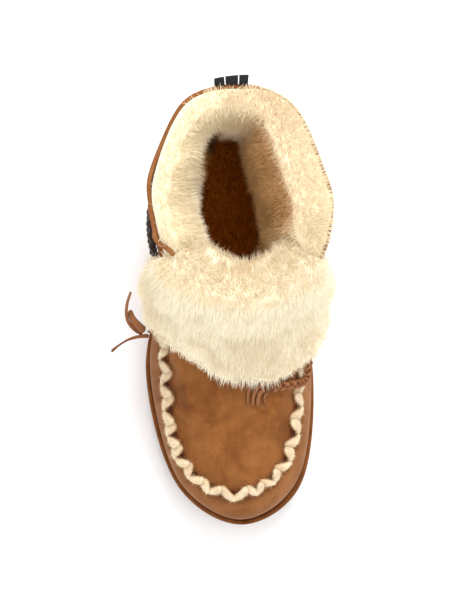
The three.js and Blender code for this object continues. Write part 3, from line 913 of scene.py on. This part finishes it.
def stitchStrand(tooth, side, spec):
    middle = teeth[tooth, 0]
    flat, halves = strandLine(tooth, side, spec)
    length = np.linalg.norm(np.diff(flat, axis=0), axis=1).sum()
    fine = spaced(flat, yarn["fineSteps"])
    tangent = unit(np.gradient(fine, axis=0))
    marks = np.linspace(0, 1, yarn["fineSteps"])
    knots = np.linspace(0, 1, len(flat))
    depths = []

    def place(u, v):
        share = 0.5 - 0.5 * np.cos(np.pi * u)
        angle = 2 * np.pi * v
        under = 1 - softStep(share, 0.0, 0.3) if side > 0 else softStep(share, 0.45, 0.9)
        # painted shade: darker on the strand's sides and underside, and more where it passes under its
        # neighbour
        depths.append(np.clip(np.clip(1 - 1.15 * np.sin(angle), 0, 1) ** 1.3 + 0.35 * under, 0, 1))
        ends = blunt(share, length, 2.0)
        ridges = 1 + 0.045 * np.cos(5 * angle + 8 * share)
        half = np.interp(share, knots, halves) * ends * ridges * spec["girth"]
        centre = [np.interp(share, marks, fine[:, k]) for k in (0, 1)]
        ahead = [np.interp(share, marks, tangent[:, k]) for k in (0, 1)]
        along = centre[0] - ahead[1] * half * np.cos(angle)
        distance = centre[1] + ahead[0] * half * np.cos(angle)
        turn, height = squareTo(middle + side * along, distance)
        thick = np.interp(share, knots, yarn["thick"]) * ends
        lift = 0.1 + thick * (0.6 + 0.75 * np.sin(angle) * ridges)
        # one strand of each pair goes over the other at the tip, and under its neighbour at the outer end
        lift = lift + (yarn["overTip"] * softStep(share, 0.4, 0.85) if side > 0 else 0)
        lift = lift + (yarn["overEnd"] * (1 - softStep(share, 0.05, 0.35)) if side < 0 else 0)
        return proud(turn, height, lift)

    piece = shapedGrid("strand", (0, 1, yarn["rows"]), (0, 1, yarn["around"]), place)
    setNumbers(piece, "depth", depths[0])
    editAll(piece, mergeDoubles, faceOut)
    return piece


def makeStitches(material):
    chance = np.random.default_rng(yarn["seed"])
    strands = []
    for tooth in range(len(teeth)):
        spec = {
            "grow": 1 + 0.05 * chance.uniform(-1, 1), "girth": 1 + 0.08 * chance.uniform(-1, 1),
            "lean": 0.05 * chance.uniform(-1, 1),
        }
        strands.append(stitchStrand(tooth, 1, spec))
        strands.append(stitchStrand(tooth, -1, {**spec, "lean": -spec["lean"]}))
    piece = join("woolStitches", strands)
    smooth(piece)
    here = points(piece)
    setNumbers(piece, "growth", np.ones(len(here)))
    setNumbers(piece, "pile", np.full(len(here), yarn["fuzz"]["pile"]))
    setVectors(piece, "comb", normalsOf(piece) * 0.2)
    growStrands(piece, yarn["fuzz"])
    keep(piece, "fleece", material=material)
    print("stitches made")


def woolMaterial():
    material, tree, shader = newMaterial("wool", Roughness=1.0, Sheen_Weight=0.2, Specular_IOR_Level=0.08)
    placed = addNode(tree, "ShaderNodeUVMap").outputs[0]
    lengthwise = addNode(tree, "ShaderNodeMapping", {"Vector": placed, "Scale": (2.2, 26, 1)}).outputs[0]
    fibres = addNode(
        tree, "ShaderNodeTexNoise", {"Vector": lengthwise, "Scale": 1, "Detail": 3, "Distortion": 0.4},
    ).outputs[0]
    tufts = noiseOf(tree, 5, 2)
    colour = rampOf(tree, fibres, (0.3, (0.6, 0.45, 0.27)), (0.62, (0.83, 0.7, 0.5)))
    tones = rampOf(tree, tufts, (0.35, (0.74, 0.56, 0.4)), (0.65, (0.86, 0.78, 0.56)))
    colour = mixOf(tree, 0.3, colour, tones)
    # painted shade: the attribute depth darkens the yarn on its sides and where one strand passes under
    # another
    shaded = mixOf(tree, 1.0, colour, (0.62, 0.46, 0.3), "MULTIPLY")
    colour = mixOf(tree, attributeOf(tree, "depth"), colour, shaded)
    tree.links.new(colour, shader.inputs["Base Color"])
    bumpsOf(tree, shader, (fibres, 0.7, 0.5))
    return material


soleShape = {
    # inset from the outline and height, where 0 is the ground and 1 the foot's seat, plus millimetres
    "profile": [
        (3.9, 0, 0), (3.0, 0, 0.15), (2.2, 0, 0.7), (1.5, 0, 1.6), (1.0, 0, 2.7), (0.75, 0.3, 1.2),
        (0.5, 0.5, 0.5), (0.35, 0.7, 0), (0.15, 0.85, 0), (0, 1, -1.0), (0, 1, 0.4), (0.25, 1, 1.3),
        (0.8, 1, 1.9), (1.5, 1, 2.1), (2.3, 1, 1.95), (2.9, 1, 1.4), (3.3, 1, 0.6), (3.6, 1, 0),
    ],
    "columns": 320, "across": 10,
    "grooveWidth": 4, "grooveDepth": 2.6, "grooveLength": 160, "grooveBevel": 0.5,
    "grooves": [(17.75, 62, 13.5), (138, 250, 13.5)],
}


def soleLoop(inset, share, extra, turn):
    halves = {name: soleHalf[name] - inset for name in stations}

    def heightAt(s, station):
        return soleBottom(s) * (1 - share) + soleTop(s) * share + extra

    loop = loopPoints(halves, boot["soleLength"] - inset, inset, 1, 0, heightAt)
    place = closedCurve(loop, turn)
    if share < 0.4:
        s = boot["heelRadius"] - place[:, 1]
        place[:, 2] = soleBottom(s) * (1 - share) + soleTop(s) * share + extra
    return place * mm


def makeGrooves():
    size = [soleShape[name] * mm for name in ("grooveLength", "grooveWidth", "grooveDepth")]
    size[2] *= 2
    grooves = []
    for first, last, pitch in soleShape["grooves"]:
        for s in np.arange(first, last, pitch):
            bpy.ops.object.select_all(action="DESELECT")
            centre = (0, (boot["heelRadius"] - s) * mm, float(soleBottom(s)) * mm)
            bpy.ops.mesh.primitive_cube_add(size=1, location=centre, scale=size)
            bpy.ops.object.transform_apply(location=True, rotation=True, scale=True)
            groove = bpy.context.object
            modify(groove, "BEVEL", width=soleShape["grooveBevel"] * mm, segments=2, limit_method="ANGLE")
            grooves.append(groove)
    return grooves


def makeSole(material):
    columns, across = soleShape["columns"], soleShape["across"]
    profile = soleShape["profile"]

    def side(turn, row):
        place = np.zeros((len(turn), 3))
        for i, layer in enumerate(profile):
            here = np.round(row).astype(int) == i
            place[here] = soleLoop(*layer, turn[here])
        return place

    def plate(layer):
        def place(turn, share):
            near = soleLoop(*layer, turn)
            return near + (soleLoop(*layer, -turn) - near) * share[:, None]
        return place

    body = shapedGrid("sole", (0, 1, columns), (0, len(profile) - 1, len(profile) - 1), side)
    bottom = shapedGrid("sole", (0, 0.5, columns // 2), (0, 1, across), plate(profile[0]))
    top = shapedGrid("sole", (0, 0.5, columns // 2), (0, 1, across), plate(profile[-1]))
    sole = join("sole", [body, bottom, top])
    editAll(sole, mergeDoubles, faceOut)
    cutter = join("grooves", makeGrooves())
    modify(sole, "BOOLEAN", operation="DIFFERENCE", object=cutter, solver="EXACT")
    bpy.data.objects.remove(cutter)
    pick(sole)
    bpy.ops.object.shade_smooth_by_angle(angle=math.radians(40))
    keep(sole, "sole_rubber", "outsole", material=material)
    print("sole made")


def rubberMaterial():
    material, tree, shader = newMaterial("soleRubber", Roughness=0.9, Specular_IOR_Level=0.05)
    blotches = noiseOf(tree, 9, 5, 0.7)
    grain = noiseOf(tree, 0.7, 4, 0.7)
    colour = rampOf(tree, blotches, (0.3, (0.135, 0.044, 0.013)), (0.7, (0.235, 0.086, 0.026)))
    flecked = mixOf(tree, 0.4, colour, rampOf(tree, grain, (0.3, 0.3), (0.7, 0.7)), "OVERLAY")
    tree.links.new(flecked, shader.inputs["Base Color"])
    bumpsOf(tree, shader, (blotches, 0.2, 0.5), (grain, 0.4, 0.25))
    return material


# Fleece is a soft body with strands growing on it
def namedOf(tree, attribute, kind="FLOAT"):
    return addNode(tree, "GeometryNodeInputNamedAttribute", {"Name": attribute}, data_type=kind).outputs[0]


def vectorOf(tree, operation, a, b):
    second = "Scale" if operation == "SCALE" else 1
    return addNode(tree, "ShaderNodeVectorMath", {0: a, second: b}, operation=operation).outputs[0]


def randomOf(tree, low, high, seed, kind="FLOAT"):
    node = addNode(tree, "FunctionNodeRandomValue", {"Seed": seed}, data_type=kind)
    slots = [socket for socket in node.inputs if socket.enabled and socket.name in ("Min", "Max")]
    slots[0].default_value = low
    slots[1].default_value = high
    return next(socket for socket in node.outputs if socket.enabled)


def storeOf(tree, geometry, name, value, kind="FLOAT"):
    inputs = {"Geometry": geometry, "Name": name, "Value": value}
    node = addNode(tree, "GeometryNodeStoreNamedAttribute", inputs, data_type=kind, domain="POINT")
    return node.outputs[0]


def rootsOf(tree, body, spec):
    # The points that the strands grow from, each with its root, reach and tint, and the way the body faces
    perSquareMetre = spec["perSquareMm"] * 1e6
    density = mathOf(tree, "MULTIPLY", namedOf(tree, "growth"), perSquareMetre)
    scatter = addNode(
        tree, "GeometryNodeDistributePointsOnFaces", {"Mesh": body, "Density": density, "Seed": spec["seed"]},
        distribute_method="RANDOM",
    )
    position = addNode(tree, "GeometryNodeInputPosition").outputs[0]
    rooted = storeOf(tree, scatter.outputs["Points"], "root", position, "FLOAT_VECTOR")
    uneven = randomOf(tree, 1 - spec["uneven"], 1 + spec["uneven"], 3)
    lengths = mathOf(tree, "MULTIPLY", namedOf(tree, "pile"), uneven)
    rooted = storeOf(tree, rooted, "reach", mathOf(tree, "MULTIPLY", lengths, mm))
    rooted = storeOf(tree, rooted, "tint", randomOf(tree, 0.0, 1.0, 5))
    return rooted, scatter.outputs["Normal"]


def conesOn(tree, rooted, facing, spec):
    # A thin cone on each root, turned between the body's facing and its comb, and a little at random
    straight = vectorOf(tree, "SCALE", facing, 1 - spec["lean"])
    combed = vectorOf(tree, "SCALE", namedOf(tree, "comb", "FLOAT_VECTOR"), spec["lean"])
    anyWay = randomOf(tree, (-1, -1, -1), (1, 1, 1), 7, "FLOAT_VECTOR")
    wild = vectorOf(tree, "SCALE", anyWay, spec["jitter"])
    aim = vectorOf(tree, "ADD", vectorOf(tree, "ADD", straight, combed), wild)
    turned = addNode(tree, "FunctionNodeAlignRotationToVector", {"Vector": aim}, axis="Z")
    cone = addNode(
        tree, "GeometryNodeMeshCone",
        {"Vertices": 3, "Side Segments": 1, "Radius Top": 0.0, "Radius Bottom": 1.0, "Depth": 1.0},
        fill_type="NGON",
    )
    position = addNode(tree, "GeometryNodeInputPosition").outputs[0]
    height = addNode(tree, "ShaderNodeSeparateXYZ", {0: position}).outputs[2]
    strand = storeOf(tree, cone.outputs["Mesh"], "along", height)
    width = mathOf(tree, "MULTIPLY", randomOf(tree, 0.7, 1.3, 9), spec["halfWidth"] * mm)
    scale = addNode(tree, "ShaderNodeCombineXYZ", {0: width, 1: width, 2: namedOf(tree, "reach")}).outputs[0]
    placed = addNode(
        tree, "GeometryNodeInstanceOnPoints",
        {"Points": rooted, "Instance": strand, "Rotation": turned.outputs[0], "Scale": scale},
    )
    return addNode(tree, "GeometryNodeRealizeInstances", {"Geometry": placed.outputs[0]}).outputs[0]


def bendOf(tree, spec):
    # Strands draw together in clumps, curl and droop, more towards their tips
    root = namedOf(tree, "root", "FLOAT_VECTOR")
    size, share = spec["clump"]
    cell = addNode(tree, "ShaderNodeTexVoronoi", {"Vector": root, "Scale": 1 / (size * mm)}, feature="F1")
    pull = vectorOf(tree, "SCALE", vectorOf(tree, "SUBTRACT", cell.outputs["Position"], root), share)
    waves = {"Vector": root, "Scale": 1 / (spec["curlSize"] * mm), "Detail": 1.0}
    wave = addNode(tree, "ShaderNodeTexNoise", waves)
    swing = vectorOf(tree, "SUBTRACT", wave.outputs["Color"], (0.5, 0.5, 0.5))
    curl = vectorOf(tree, "SCALE", swing, spec["curl"] * mm)
    fall = mathOf(tree, "MULTIPLY", namedOf(tree, "reach"), spec["droop"])
    droop = vectorOf(tree, "SCALE", namedOf(tree, "comb", "FLOAT_VECTOR"), fall)
    bend = vectorOf(tree, "ADD", vectorOf(tree, "ADD", pull, curl), droop)
    return vectorOf(tree, "SCALE", bend, mathOf(tree, "POWER", namedOf(tree, "along"), 1.5))


def strandTree(name, spec):
    # Curved tapering strands over a body that carries the attributes comb, pile, growth and nap
    tree = bpy.data.node_groups.new(name, "GeometryNodeTree")
    tree.interface.new_socket("Geometry", in_out="INPUT", socket_type="NodeSocketGeometry")
    tree.interface.new_socket("Geometry", in_out="OUTPUT", socket_type="NodeSocketGeometry")
    body = tree.nodes.new("NodeGroupInput").outputs[0]
    rooted, facing = rootsOf(tree, body, spec)
    straight = conesOn(tree, rooted, facing, spec)
    bent = addNode(tree, "GeometryNodeSetPosition", {"Geometry": straight, "Offset": bendOf(tree, spec)})
    both = addNode(tree, "GeometryNodeJoinGeometry")
    for part in (bent.outputs[0], storeOf(tree, body, "along", 0.8)):
        tree.links.new(part, both.inputs[0])
    # Every strand takes the light as the body under it does
    inputs = {"Mesh": both.outputs[0], "Custom Normal": namedOf(tree, "nap", "FLOAT_VECTOR")}
    soft = addNode(tree, "GeometryNodeSetMeshNormal", inputs, mode="FREE", domain="POINT")
    tree.links.new(soft.outputs[0], tree.nodes.new("NodeGroupOutput").inputs[0])
    return tree


def growStrands(piece, spec):
    smooth(piece)
    setVectors(piece, "nap", normalsOf(piece))
    modifier = piece.modifiers.new("strands", "NODES")
    modifier.node_group = strandTree(piece.name + "Strands", spec)
    bpy.ops.object.modifier_apply(modifier=modifier.name)
    print(piece.name, "faces", len(piece.data.polygons))


fleeces = {
    # colours at a strand's root and tip and the tint that painted shade multiplies them by, the sheen, and a
    # faint painted glow that stands for light passing through the wool
    "fleece": {
        "root": (0.87, 0.75, 0.52), "tip": (0.93, 0.84, 0.63), "deep": (0.52, 0.29, 0.1),
        "sheen": 0.2, "glow": 0.04,
    },
    "cuffFleece": {
        "root": (0.89, 0.805, 0.6), "tip": (0.95, 0.895, 0.74), "deep": (0.62, 0.46, 0.24),
        "sheen": 0.2, "glow": 0.06,
    },
    "insoleFleece": {
        "root": (0.57, 0.165, 0.01), "tip": (0.67, 0.195, 0.012), "deep": (1, 1, 1),
        "sheen": 0.0, "glow": 0.0,
    },
}


def fleeceMaterial(name):
    # The attribute depth is painted shade: it mixes from clean at 0 to the shade tint at 1 and to the darkest
    # painted shade at 2, and the colour glows faintly as painted light
    spec = fleeces[name]
    material, tree, shader = newMaterial(
        name, Roughness=1.0, Specular_IOR_Level=0.03, Sheen_Weight=spec["sheen"], Sheen_Roughness=0.5,
        Emission_Strength=spec["glow"],
    )
    colour = rampOf(tree, attributeOf(tree, "along"), (0.0, spec["root"]), (0.8, spec["tip"]))
    each = rampOf(tree, attributeOf(tree, "tint"), (0.0, 0.93), (1.0, 1.0))
    colour = mixOf(tree, 1.0, colour, each, "MULTIPLY")
    shaded = mixOf(tree, 1.0, colour, spec["deep"], "MULTIPLY")
    depth = attributeOf(tree, "depth")
    colour = mixOf(tree, depth, colour, shaded)
    # the darkest painted shade, for the dark low inside the outer heel corner
    darkest = mixOf(tree, 1.0, colour, (0.12, 0.07, 0.03), "MULTIPLY")
    colour = mixOf(tree, mathOf(tree, "SUBTRACT", depth, 1.0), colour, darkest)
    # the same colour also glows faintly, as painted light passing through the wool
    for socket in ("Base Color", "Emission Color"):
        tree.links.new(colour, shader.inputs[socket])
    return material


lining = {
    # rows of faces up behind the suede, over the rim and down inside
    "rows": (24, 10, 60), "columns": 240, "behindSuede": 2.7, "overRim": 3.2,
    # how far the fleece swells past the boot's wall, in millimetres, by turn, and a share of it by height
    # on the outer and the inner side
    "turns": [0, 0.06, 0.13, 0.2, 0.28, 0.35, 0.42, 0.47, 0.52, 0.57, 0.63, 0.7, 0.8, 0.88, 0.94, 1],
    "swell": [8, 7, 9.5, 12.5, 13.5, 12.5, 8.5, 2, 1, 1, 1.5, 3.5, 5.5, 13, 16, 11],
    "heights": [0, 3, 5, 6.5, 8, 9.5, 10.5, 11],
    "shares": [0.1, 0.3, 0.65, 0.95, 1, 0.75, 0.25, -0.1],
    "innerShares": [0.1, 0.3, 0.65, 0.9, 1, 1.0, 0.95, 0.85],
    # how strongly painted shade darkens the pile deep down, by turn
    "shadeByTurn": [0.25, 0.35, 0.7, 0.9, 0.9, 0.9, 0.8, 0.45, 0.25, 0.1, 0.05, 0.1, 0.1, 0.2, 0.25, 0.25],
    "strands": {
        "perSquareMm": 1.1, "seed": 11, "uneven": 0.3, "lean": 0.35, "jitter": 0.3,
        "halfWidth": 0.2, "clump": (4, 0.25), "curlSize": 9, "curl": 1.5, "droop": 0.1,
    },
}


def liningExtra(turn, height):
    swell = np.interp(turn % 1, lining["turns"], lining["swell"])
    side = softStep(turn % 1, 0.1, 0.18) * (1 - softStep(turn % 1, 0.4, 0.5))
    plain, inner = [np.interp(height, lining["heights"], lining[name]) for name in ("shares", "innerShares")]
    return swell * (plain + side * (inner - plain))


def byTab(turn):
    # 1 where the heel strap goes over the rim
    return np.exp(-(((turn - 0.51) / 0.035) ** 4))


def liningSpot(turn, row):
    up, over, down = lining["rows"]
    top = float(level["rim"])
    row = np.round(row)
    falling = top * (sum(lining["rows"]) - row) / down
    height = np.where(row <= up, top * row / up, np.where(row <= up + over, top, falling))
    inner = -(wallAt(height) + liningExtra(turn, height))
    share = np.clip((row - up) / over, 0, 1)
    covers = (1 - softStep(turn, 0.5, 0.56)) * softStep(turn, 0.0, 0.08) * (1 - byTab(turn))
    edge = lining["behindSuede"] - 0.3 - covers * (1.0 + 0.5 * np.sin(turn * 61) * np.sin(turn * 143 + 1))
    depth = -edge + (inner + edge) * (0.5 - 0.5 * np.cos(np.pi * share))
    spot = proud(turn, height, np.where(row <= up, -lining["behindSuede"], depth))
    lift = np.where((row > up) & (row < up + over), np.sin(np.pi * share), 0)
    spot[:, 2] += lift * lining["overRim"] * mm
    return spot


def shapeLining():
    # The body of the lining, with each point's row and turn, lumpy where it shows
    up, over = lining["rows"][:2]
    rows, columns = sum(lining["rows"]), lining["columns"]
    piece = shapedGrid("fleeceLining", (0, 1, columns), (0, rows, rows), liningSpot)
    setNumbers(piece, "rowAt", np.repeat(np.arange(rows + 1), columns + 1))
    setNumbers(piece, "turnAt", np.tile(np.linspace(0, 1, columns + 1), rows + 1))
    editAll(piece, mergeDoubles)
    row, turn = numbersOf(piece, "rowAt"), numbersOf(piece, "turnAt")
    here = points(piece)
    inside = softStep(row, up - 0.5, up + 2)
    lumps = roughness(here, 16, 2.6, 2) + roughness(here, 6, 1.0, 4)
    swelling = lumps * inside * softStep(row, up, up + over + 4) * mm
    movePoints(piece, here + normalsOf(piece) * swelling[:, None])
    return piece, row, turn


def liningPaintedShade(piece, row, turn, fromTop):
    # Painted shade: browner and darker further down and where the pile faces up, most of all by the heel, and
    # darkest low in the outer heel corner
    up, over, down = lining["rows"]
    shadeByTurn = np.interp(turn, lining["turns"], lining["shadeByTurn"])
    inner = softStep(turn, 0.12, 0.2) * (1 - softStep(turn, 0.4, 0.48))
    tan = softStep(row, up + 0.5 * over, up + over + (0.2 - 0.155 * inner) * down) * shadeByTurn
    facingUp = softStep(normalsOf(piece)[:, 2], 0.5, 0.95) * (1 - softStep(turn, 0.5, 0.56))
    tan = np.maximum(tan, (0.18 + 0.14 * softStep(turn, 0.33, 0.42)) * facingUp)
    corner = softStep(turn, 0.535, 0.565) * (1 - softStep(turn, 0.62, 0.68))
    return np.maximum(tan, 2 * corner * softStep(fromTop, 0.2, 0.25))


def liningComb(row, turn, fromTop, bareEdge):
    # Out over the rim on the inner side, in from the bare edge and the tab, and down further inside
    up, over = lining["rows"][:2]
    rimOut = outward(turn, np.full(len(turn), level["rim"] - 0.3))
    nearEdge = 1 - softStep(row, up + 2, up + over)
    comb = rimOut * (nearEdge * ((2.4 - 3.0 * bareEdge) * (1 - byTab(turn)) - 1.5 * byTab(turn)))[:, None]
    comb[:, 2] += 0.4 - 1.2 * fromTop + 0.9 * nearEdge * (1 - bareEdge)
    return comb


def makeLining(material):
    piece, row, turn = shapeLining()
    up, over, down = lining["rows"]
    fromTop = np.clip((row - up - over) / down, 0, 1)
    bareEdge = softStep(turn, 0.52, 0.6)
    patches = np.maximum(roughness(points(piece), 9, 1.6, 9), -0.2) * (1 - bareEdge)
    fromEdge = softStep(row, up - 0.8 + 2.5 * bareEdge + patches, up + 0.4 + 2.5 * bareEdge + patches)
    growth = fromEdge * (1 - 0.85 * softStep(fromTop, 0.5, 0.62)) * (1 - softStep(fromTop, 0.9, 0.98))
    setNumbers(piece, "growth", growth)
    setNumbers(piece, "pile", 4.5 + 1.5 * softStep(fromTop, 0.02, 0.3))
    setNumbers(piece, "depth", liningPaintedShade(piece, row, turn, fromTop))
    setVectors(piece, "comb", liningComb(row, turn, fromTop, bareEdge))
    growStrands(piece, lining["strands"])
    keep(piece, "fleece", material=material)
    print("lining made")


cuffShape = {
    "rimTurns": (-0.2, 0.2, 161),
    "voxel": 1.6, "smoothing": 10, "inset": 3.6, "hemLift": (0.3, 2.2, 1.0), "outerPush": (-3.5, 0, 0),
    "bulges": [{"turn": -0.07, "width": 0.06, "depth": 9}, {"turn": 0.08, "width": 0.05, "depth": 7}],
    "strands": {
        "perSquareMm": 1.1, "seed": 23, "uneven": 0.3, "lean": 0.55, "jitter": 0.25,
        "halfWidth": 0.2, "clump": (5, 0.25), "curlSize": 10, "curl": 1.5, "droop": 0.2,
    },
}


def copyOf(node, name):
    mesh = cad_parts[node].data.copy()
    piece = bpy.data.objects.new(name, mesh)
    mesh.name = name
    bpy.context.collection.objects.link(piece)
    pick(piece)
    bpy.ops.mesh.customdata_custom_splitnormals_clear()
    editAll(piece, lambda: mergeDoubles(1e-6))
    return piece


def remesh(piece, voxel, rounds):
    piece.data.remesh_voxel_size = voxel * mm
    pick(piece)
    bpy.ops.object.voxel_remesh()
    modify(piece, "SMOOTH", factor=0.5, iterations=rounds)


def nearRim(here):
    # The nearest rim point, its turn, the way out of the boot there and how far out the point lies
    turns = np.linspace(*cuffShape["rimTurns"])
    height = np.full(len(turns), float(level["rim"]))
    line = outside(turns, height) * mm
    out = outward(turns, height)
    out[:, 2] = 0
    out = unit(out)
    nearest = np.array([np.argmin(np.sum((line[:, :2] - p[:2]) ** 2, axis=1)) for p in here])
    rim, out = line[nearest], out[nearest]
    return rim, turns[nearest], out, np.sum((here - rim) * out, axis=1) / mm


def shapeCuff(piece, turn, out, reach, hidden):
    # Lumps outside, bulges into the opening, a hem lifted on the outer side and a corner pushed out
    here = points(piece)
    lumps = roughness(here, 18, 2.2, 6) + roughness(here, 7, 0.9, 8) - cuffShape["inset"]
    here = here + normalsOf(piece) * (np.where(hidden, -0.5, lumps) * mm)[:, None]
    inward = softStep(-reach, -2, 9)
    for bulge in cuffShape["bulges"]:
        near = np.exp(-(((turn - bulge["turn"]) / bulge["width"]) ** 2)) * inward
        here = here - out * (bulge["depth"] * near * mm)[:, None]
    hem = softStep(-here[:, 0] / mm, 2, 26) * (1 - softStep(here[:, 2] / mm, 76, 92)) * (reach > 4)
    here = here + hem[:, None] * np.array(cuffShape["hemLift"]) * mm
    corner = softStep(-here[:, 0] / mm, 34, 50) * softStep(-here[:, 1] / mm, 91, 104)
    corner = corner * (1 - softStep(-here[:, 1] / mm, 116, 128)) * (reach > 4)
    here = here + corner[:, None] * np.array(cuffShape["outerPush"]) * mm
    movePoints(piece, here)
    return here / mm


def cuffComb(out, reach):
    # Away from the rim on both sides and down, and on the flap towards the toe as well
    comb = out * np.clip(reach / 14, -1, 0.45)[:, None]
    comb[:, 2] = -np.clip(np.abs(reach) / 10, 0, 1) * np.where(reach > 0, 1.0, 0.3)
    return comb + np.array([0.0, -0.35, 0.0]) * (reach > 4)[:, None]


def makeCuff(material):
    piece = copyOf("cuff", "fleeceCuff")
    remesh(piece, cuffShape["voxel"], cuffShape["smoothing"])
    here = points(piece)
    rim, turn, out, reach = nearRim(here)
    hidden = (reach > 2) & (here[:, 2] < rim[:, 2]) & (np.sum(normalsOf(piece) * out, axis=1) < -0.25)
    x, _, z = shapeCuff(piece, turn, out, reach, hidden).T
    setVectors(piece, "comb", cuffComb(out, reach))
    # Painted shade: darker where the fleece faces up, inside the opening and on the outer side of the flap
    facingUp = softStep(normalsOf(piece)[:, 2], 0.45, 0.9)
    depth = 0.4 * facingUp + 0.55 * softStep(-reach, 3, 19) + 0.25 * softStep(-x, 36, 52)
    setNumbers(piece, "depth", depth)
    sideways = softStep(np.abs(x - 5), 12, 26) * (1 - softStep(z, 85, 105))
    tips = (1 - softStep(z, 70, 82)) * (1 - softStep(np.abs(x - 6), 14, 30))
    setNumbers(piece, "pile", 5.0 - 2.0 * sideways + 3.5 * tips * (reach > 4))
    setNumbers(piece, "growth", np.where(hidden, 0.05, 1.0))
    growStrands(piece, cuffShape["strands"])
    keep(piece, "fleece", "cuff", material=material)
    print("cuff made")


insolePile = {
    "voxel": 2.0, "smoothing": 4, "pile": 4.0, "comb": (0.0, -1.0, 0.2),
    "perSquareMm": 0.9, "seed": 31, "uneven": 0.3, "lean": 0.3, "jitter": 0.45,
    "halfWidth": 0.5, "clump": (3, 0.4), "curlSize": 6, "curl": 1.5, "droop": 0.2,
}


def makeInsole(material):
    piece = copyOf("insole", "insolePile")
    remesh(piece, insolePile["voxel"], insolePile["smoothing"])
    facingUp = normalsOf(piece)[:, 2] > 0.3
    setNumbers(piece, "growth", facingUp * 1.0)
    setNumbers(piece, "pile", np.full(len(facingUp), insolePile["pile"]))
    setVectors(piece, "comb", np.tile(insolePile["comb"], (len(facingUp), 1)))
    growStrands(piece, insolePile)
    keep(piece, "insole_pile", "insole", material=material)
    print("insole made")


strap = {
    "turns": (0.48, 0.538), "thickness": 1.4, "skew": 1.6, "columns": 24, "fineRows": 36,
    "lines": (0.3, 0.7), "lineHalf": 0.016,
    # height, rise and distance from the shaft, from under the strap's lower end up and over the rim
    "rows": [
        (9.7, 0, 0.5), (10.2, 0, 1.4), (10.7, 0, 2.6), (11, 1.4, 3), (11, 3, 1.8), (11, 2.4, 0.4),
        (11, 1.2, -1.6),
    ],
}


def makeStrap(material):
    rows = np.array(strap["rows"], dtype=float)
    first, last = strap["turns"]

    def place(turn, v):
        height, rise, distance = [np.interp(v, range(len(rows)), rows[:, i]) for i in range(3)]
        skew = 1 + strap["skew"] * (0.5 - turn) / (last - first)
        spot = proud(turn, height, distance + np.where(distance > 0.5, skew, 0) + strap["thickness"])
        spot[:, 2] += rise * mm
        return spot

    down = (0, len(rows) - 1, strap["fineRows"])
    piece = shapedGrid("heelStrap", (first, last, strap["columns"]), down, place)
    modify(piece, "SMOOTH", factor=0.5, iterations=6)
    modify(piece, "SOLIDIFY", thickness=strap["thickness"] * mm, offset=-1)
    modify(piece, "BEVEL", width=0.25 * mm, segments=2, limit_method="ANGLE")
    smooth(piece)
    keep(piece, "webbing", "heel_tab", material=material)
    print("strap made")


def webbingMaterial():
    material, tree, shader = newMaterial("webbing", Roughness=0.9, Specular_IOR_Level=0.1)
    placed = addNode(tree, "ShaderNodeUVMap").outputs[0]
    across = addNode(tree, "ShaderNodeSeparateXYZ", {0: placed}).outputs[0]
    weave = noiseOf(tree, 0.6, 3, 0.6)
    colour = rampOf(tree, weave, (0.3, (0.006, 0.006, 0.007)), (0.7, (0.03, 0.03, 0.034)))
    for line in strap["lines"]:
        near = mathOf(tree, "ABSOLUTE", mathOf(tree, "SUBTRACT", across, line))
        on = mathOf(tree, "LESS_THAN", near, strap["lineHalf"])
        colour = mixOf(tree, on, colour, (0.7, 0.7, 0.69))
    tree.links.new(colour, shader.inputs["Base Color"])
    bumpsOf(tree, shader, (weave, 0.5, 0.3))
    return material


crochet = {
    "pitch": 20.4, "reach": 1.7, "depth": 0.9, "halfWidth": 1.75, "halfHeight": 1.5, "rows": 420, "sides": 8,
    "turns": (13 / 64, 51 / 64), "height": 7.25, "off": 3.75, "fineSteps": 400,
}


def makeAnkleBraid(material):
    turns = np.linspace(*crochet["turns"], crochet["fineSteps"])
    height = np.full(crochet["fineSteps"], crochet["height"])
    line = spaced(proud(turns, height, crochet["off"]), crochet["fineSteps"])
    piece = braid("ankleCrochet", line, outward(turns, height), crochet)
    smooth(piece)
    keep(piece, "crochet", "ankle_braid", material=material)
    print("ankle braid made")


def crochetMaterial():
    material, tree, shader = newMaterial("crochetWool", Roughness=1.0, Sheen_Weight=0.3)
    fibres = noiseOf(tree, 0.7, 4, 0.7)
    colour = rampOf(tree, fibres, (0.3, (0.012, 0.007, 0.005)), (0.7, (0.05, 0.026, 0.016)))
    tree.links.new(colour, shader.inputs["Base Color"])
    bumpsOf(tree, shader, (fibres, 0.8, 0.4))
    return material


# The camera and the cords come first, then the boot from the sole up
addCamera()
addLights()
makeFloor()
print("camera, lights and floor made")
makeLaces(suedeMaterial("lace"))
makeSole(rubberMaterial())
makeWall(suedeMaterial("wall"))
makeApron(suedeMaterial("apron"))
makeShaft(suedeMaterial("shaft"))
makeStitches(woolMaterial())
makeLining(fleeceMaterial("fleece"))
makeCuff(fleeceMaterial("cuffFleece"))
makeInsole(fleeceMaterial("insoleFleece"))
makeStrap(webbingMaterial())
makeAnkleBraid(crochetMaterial())
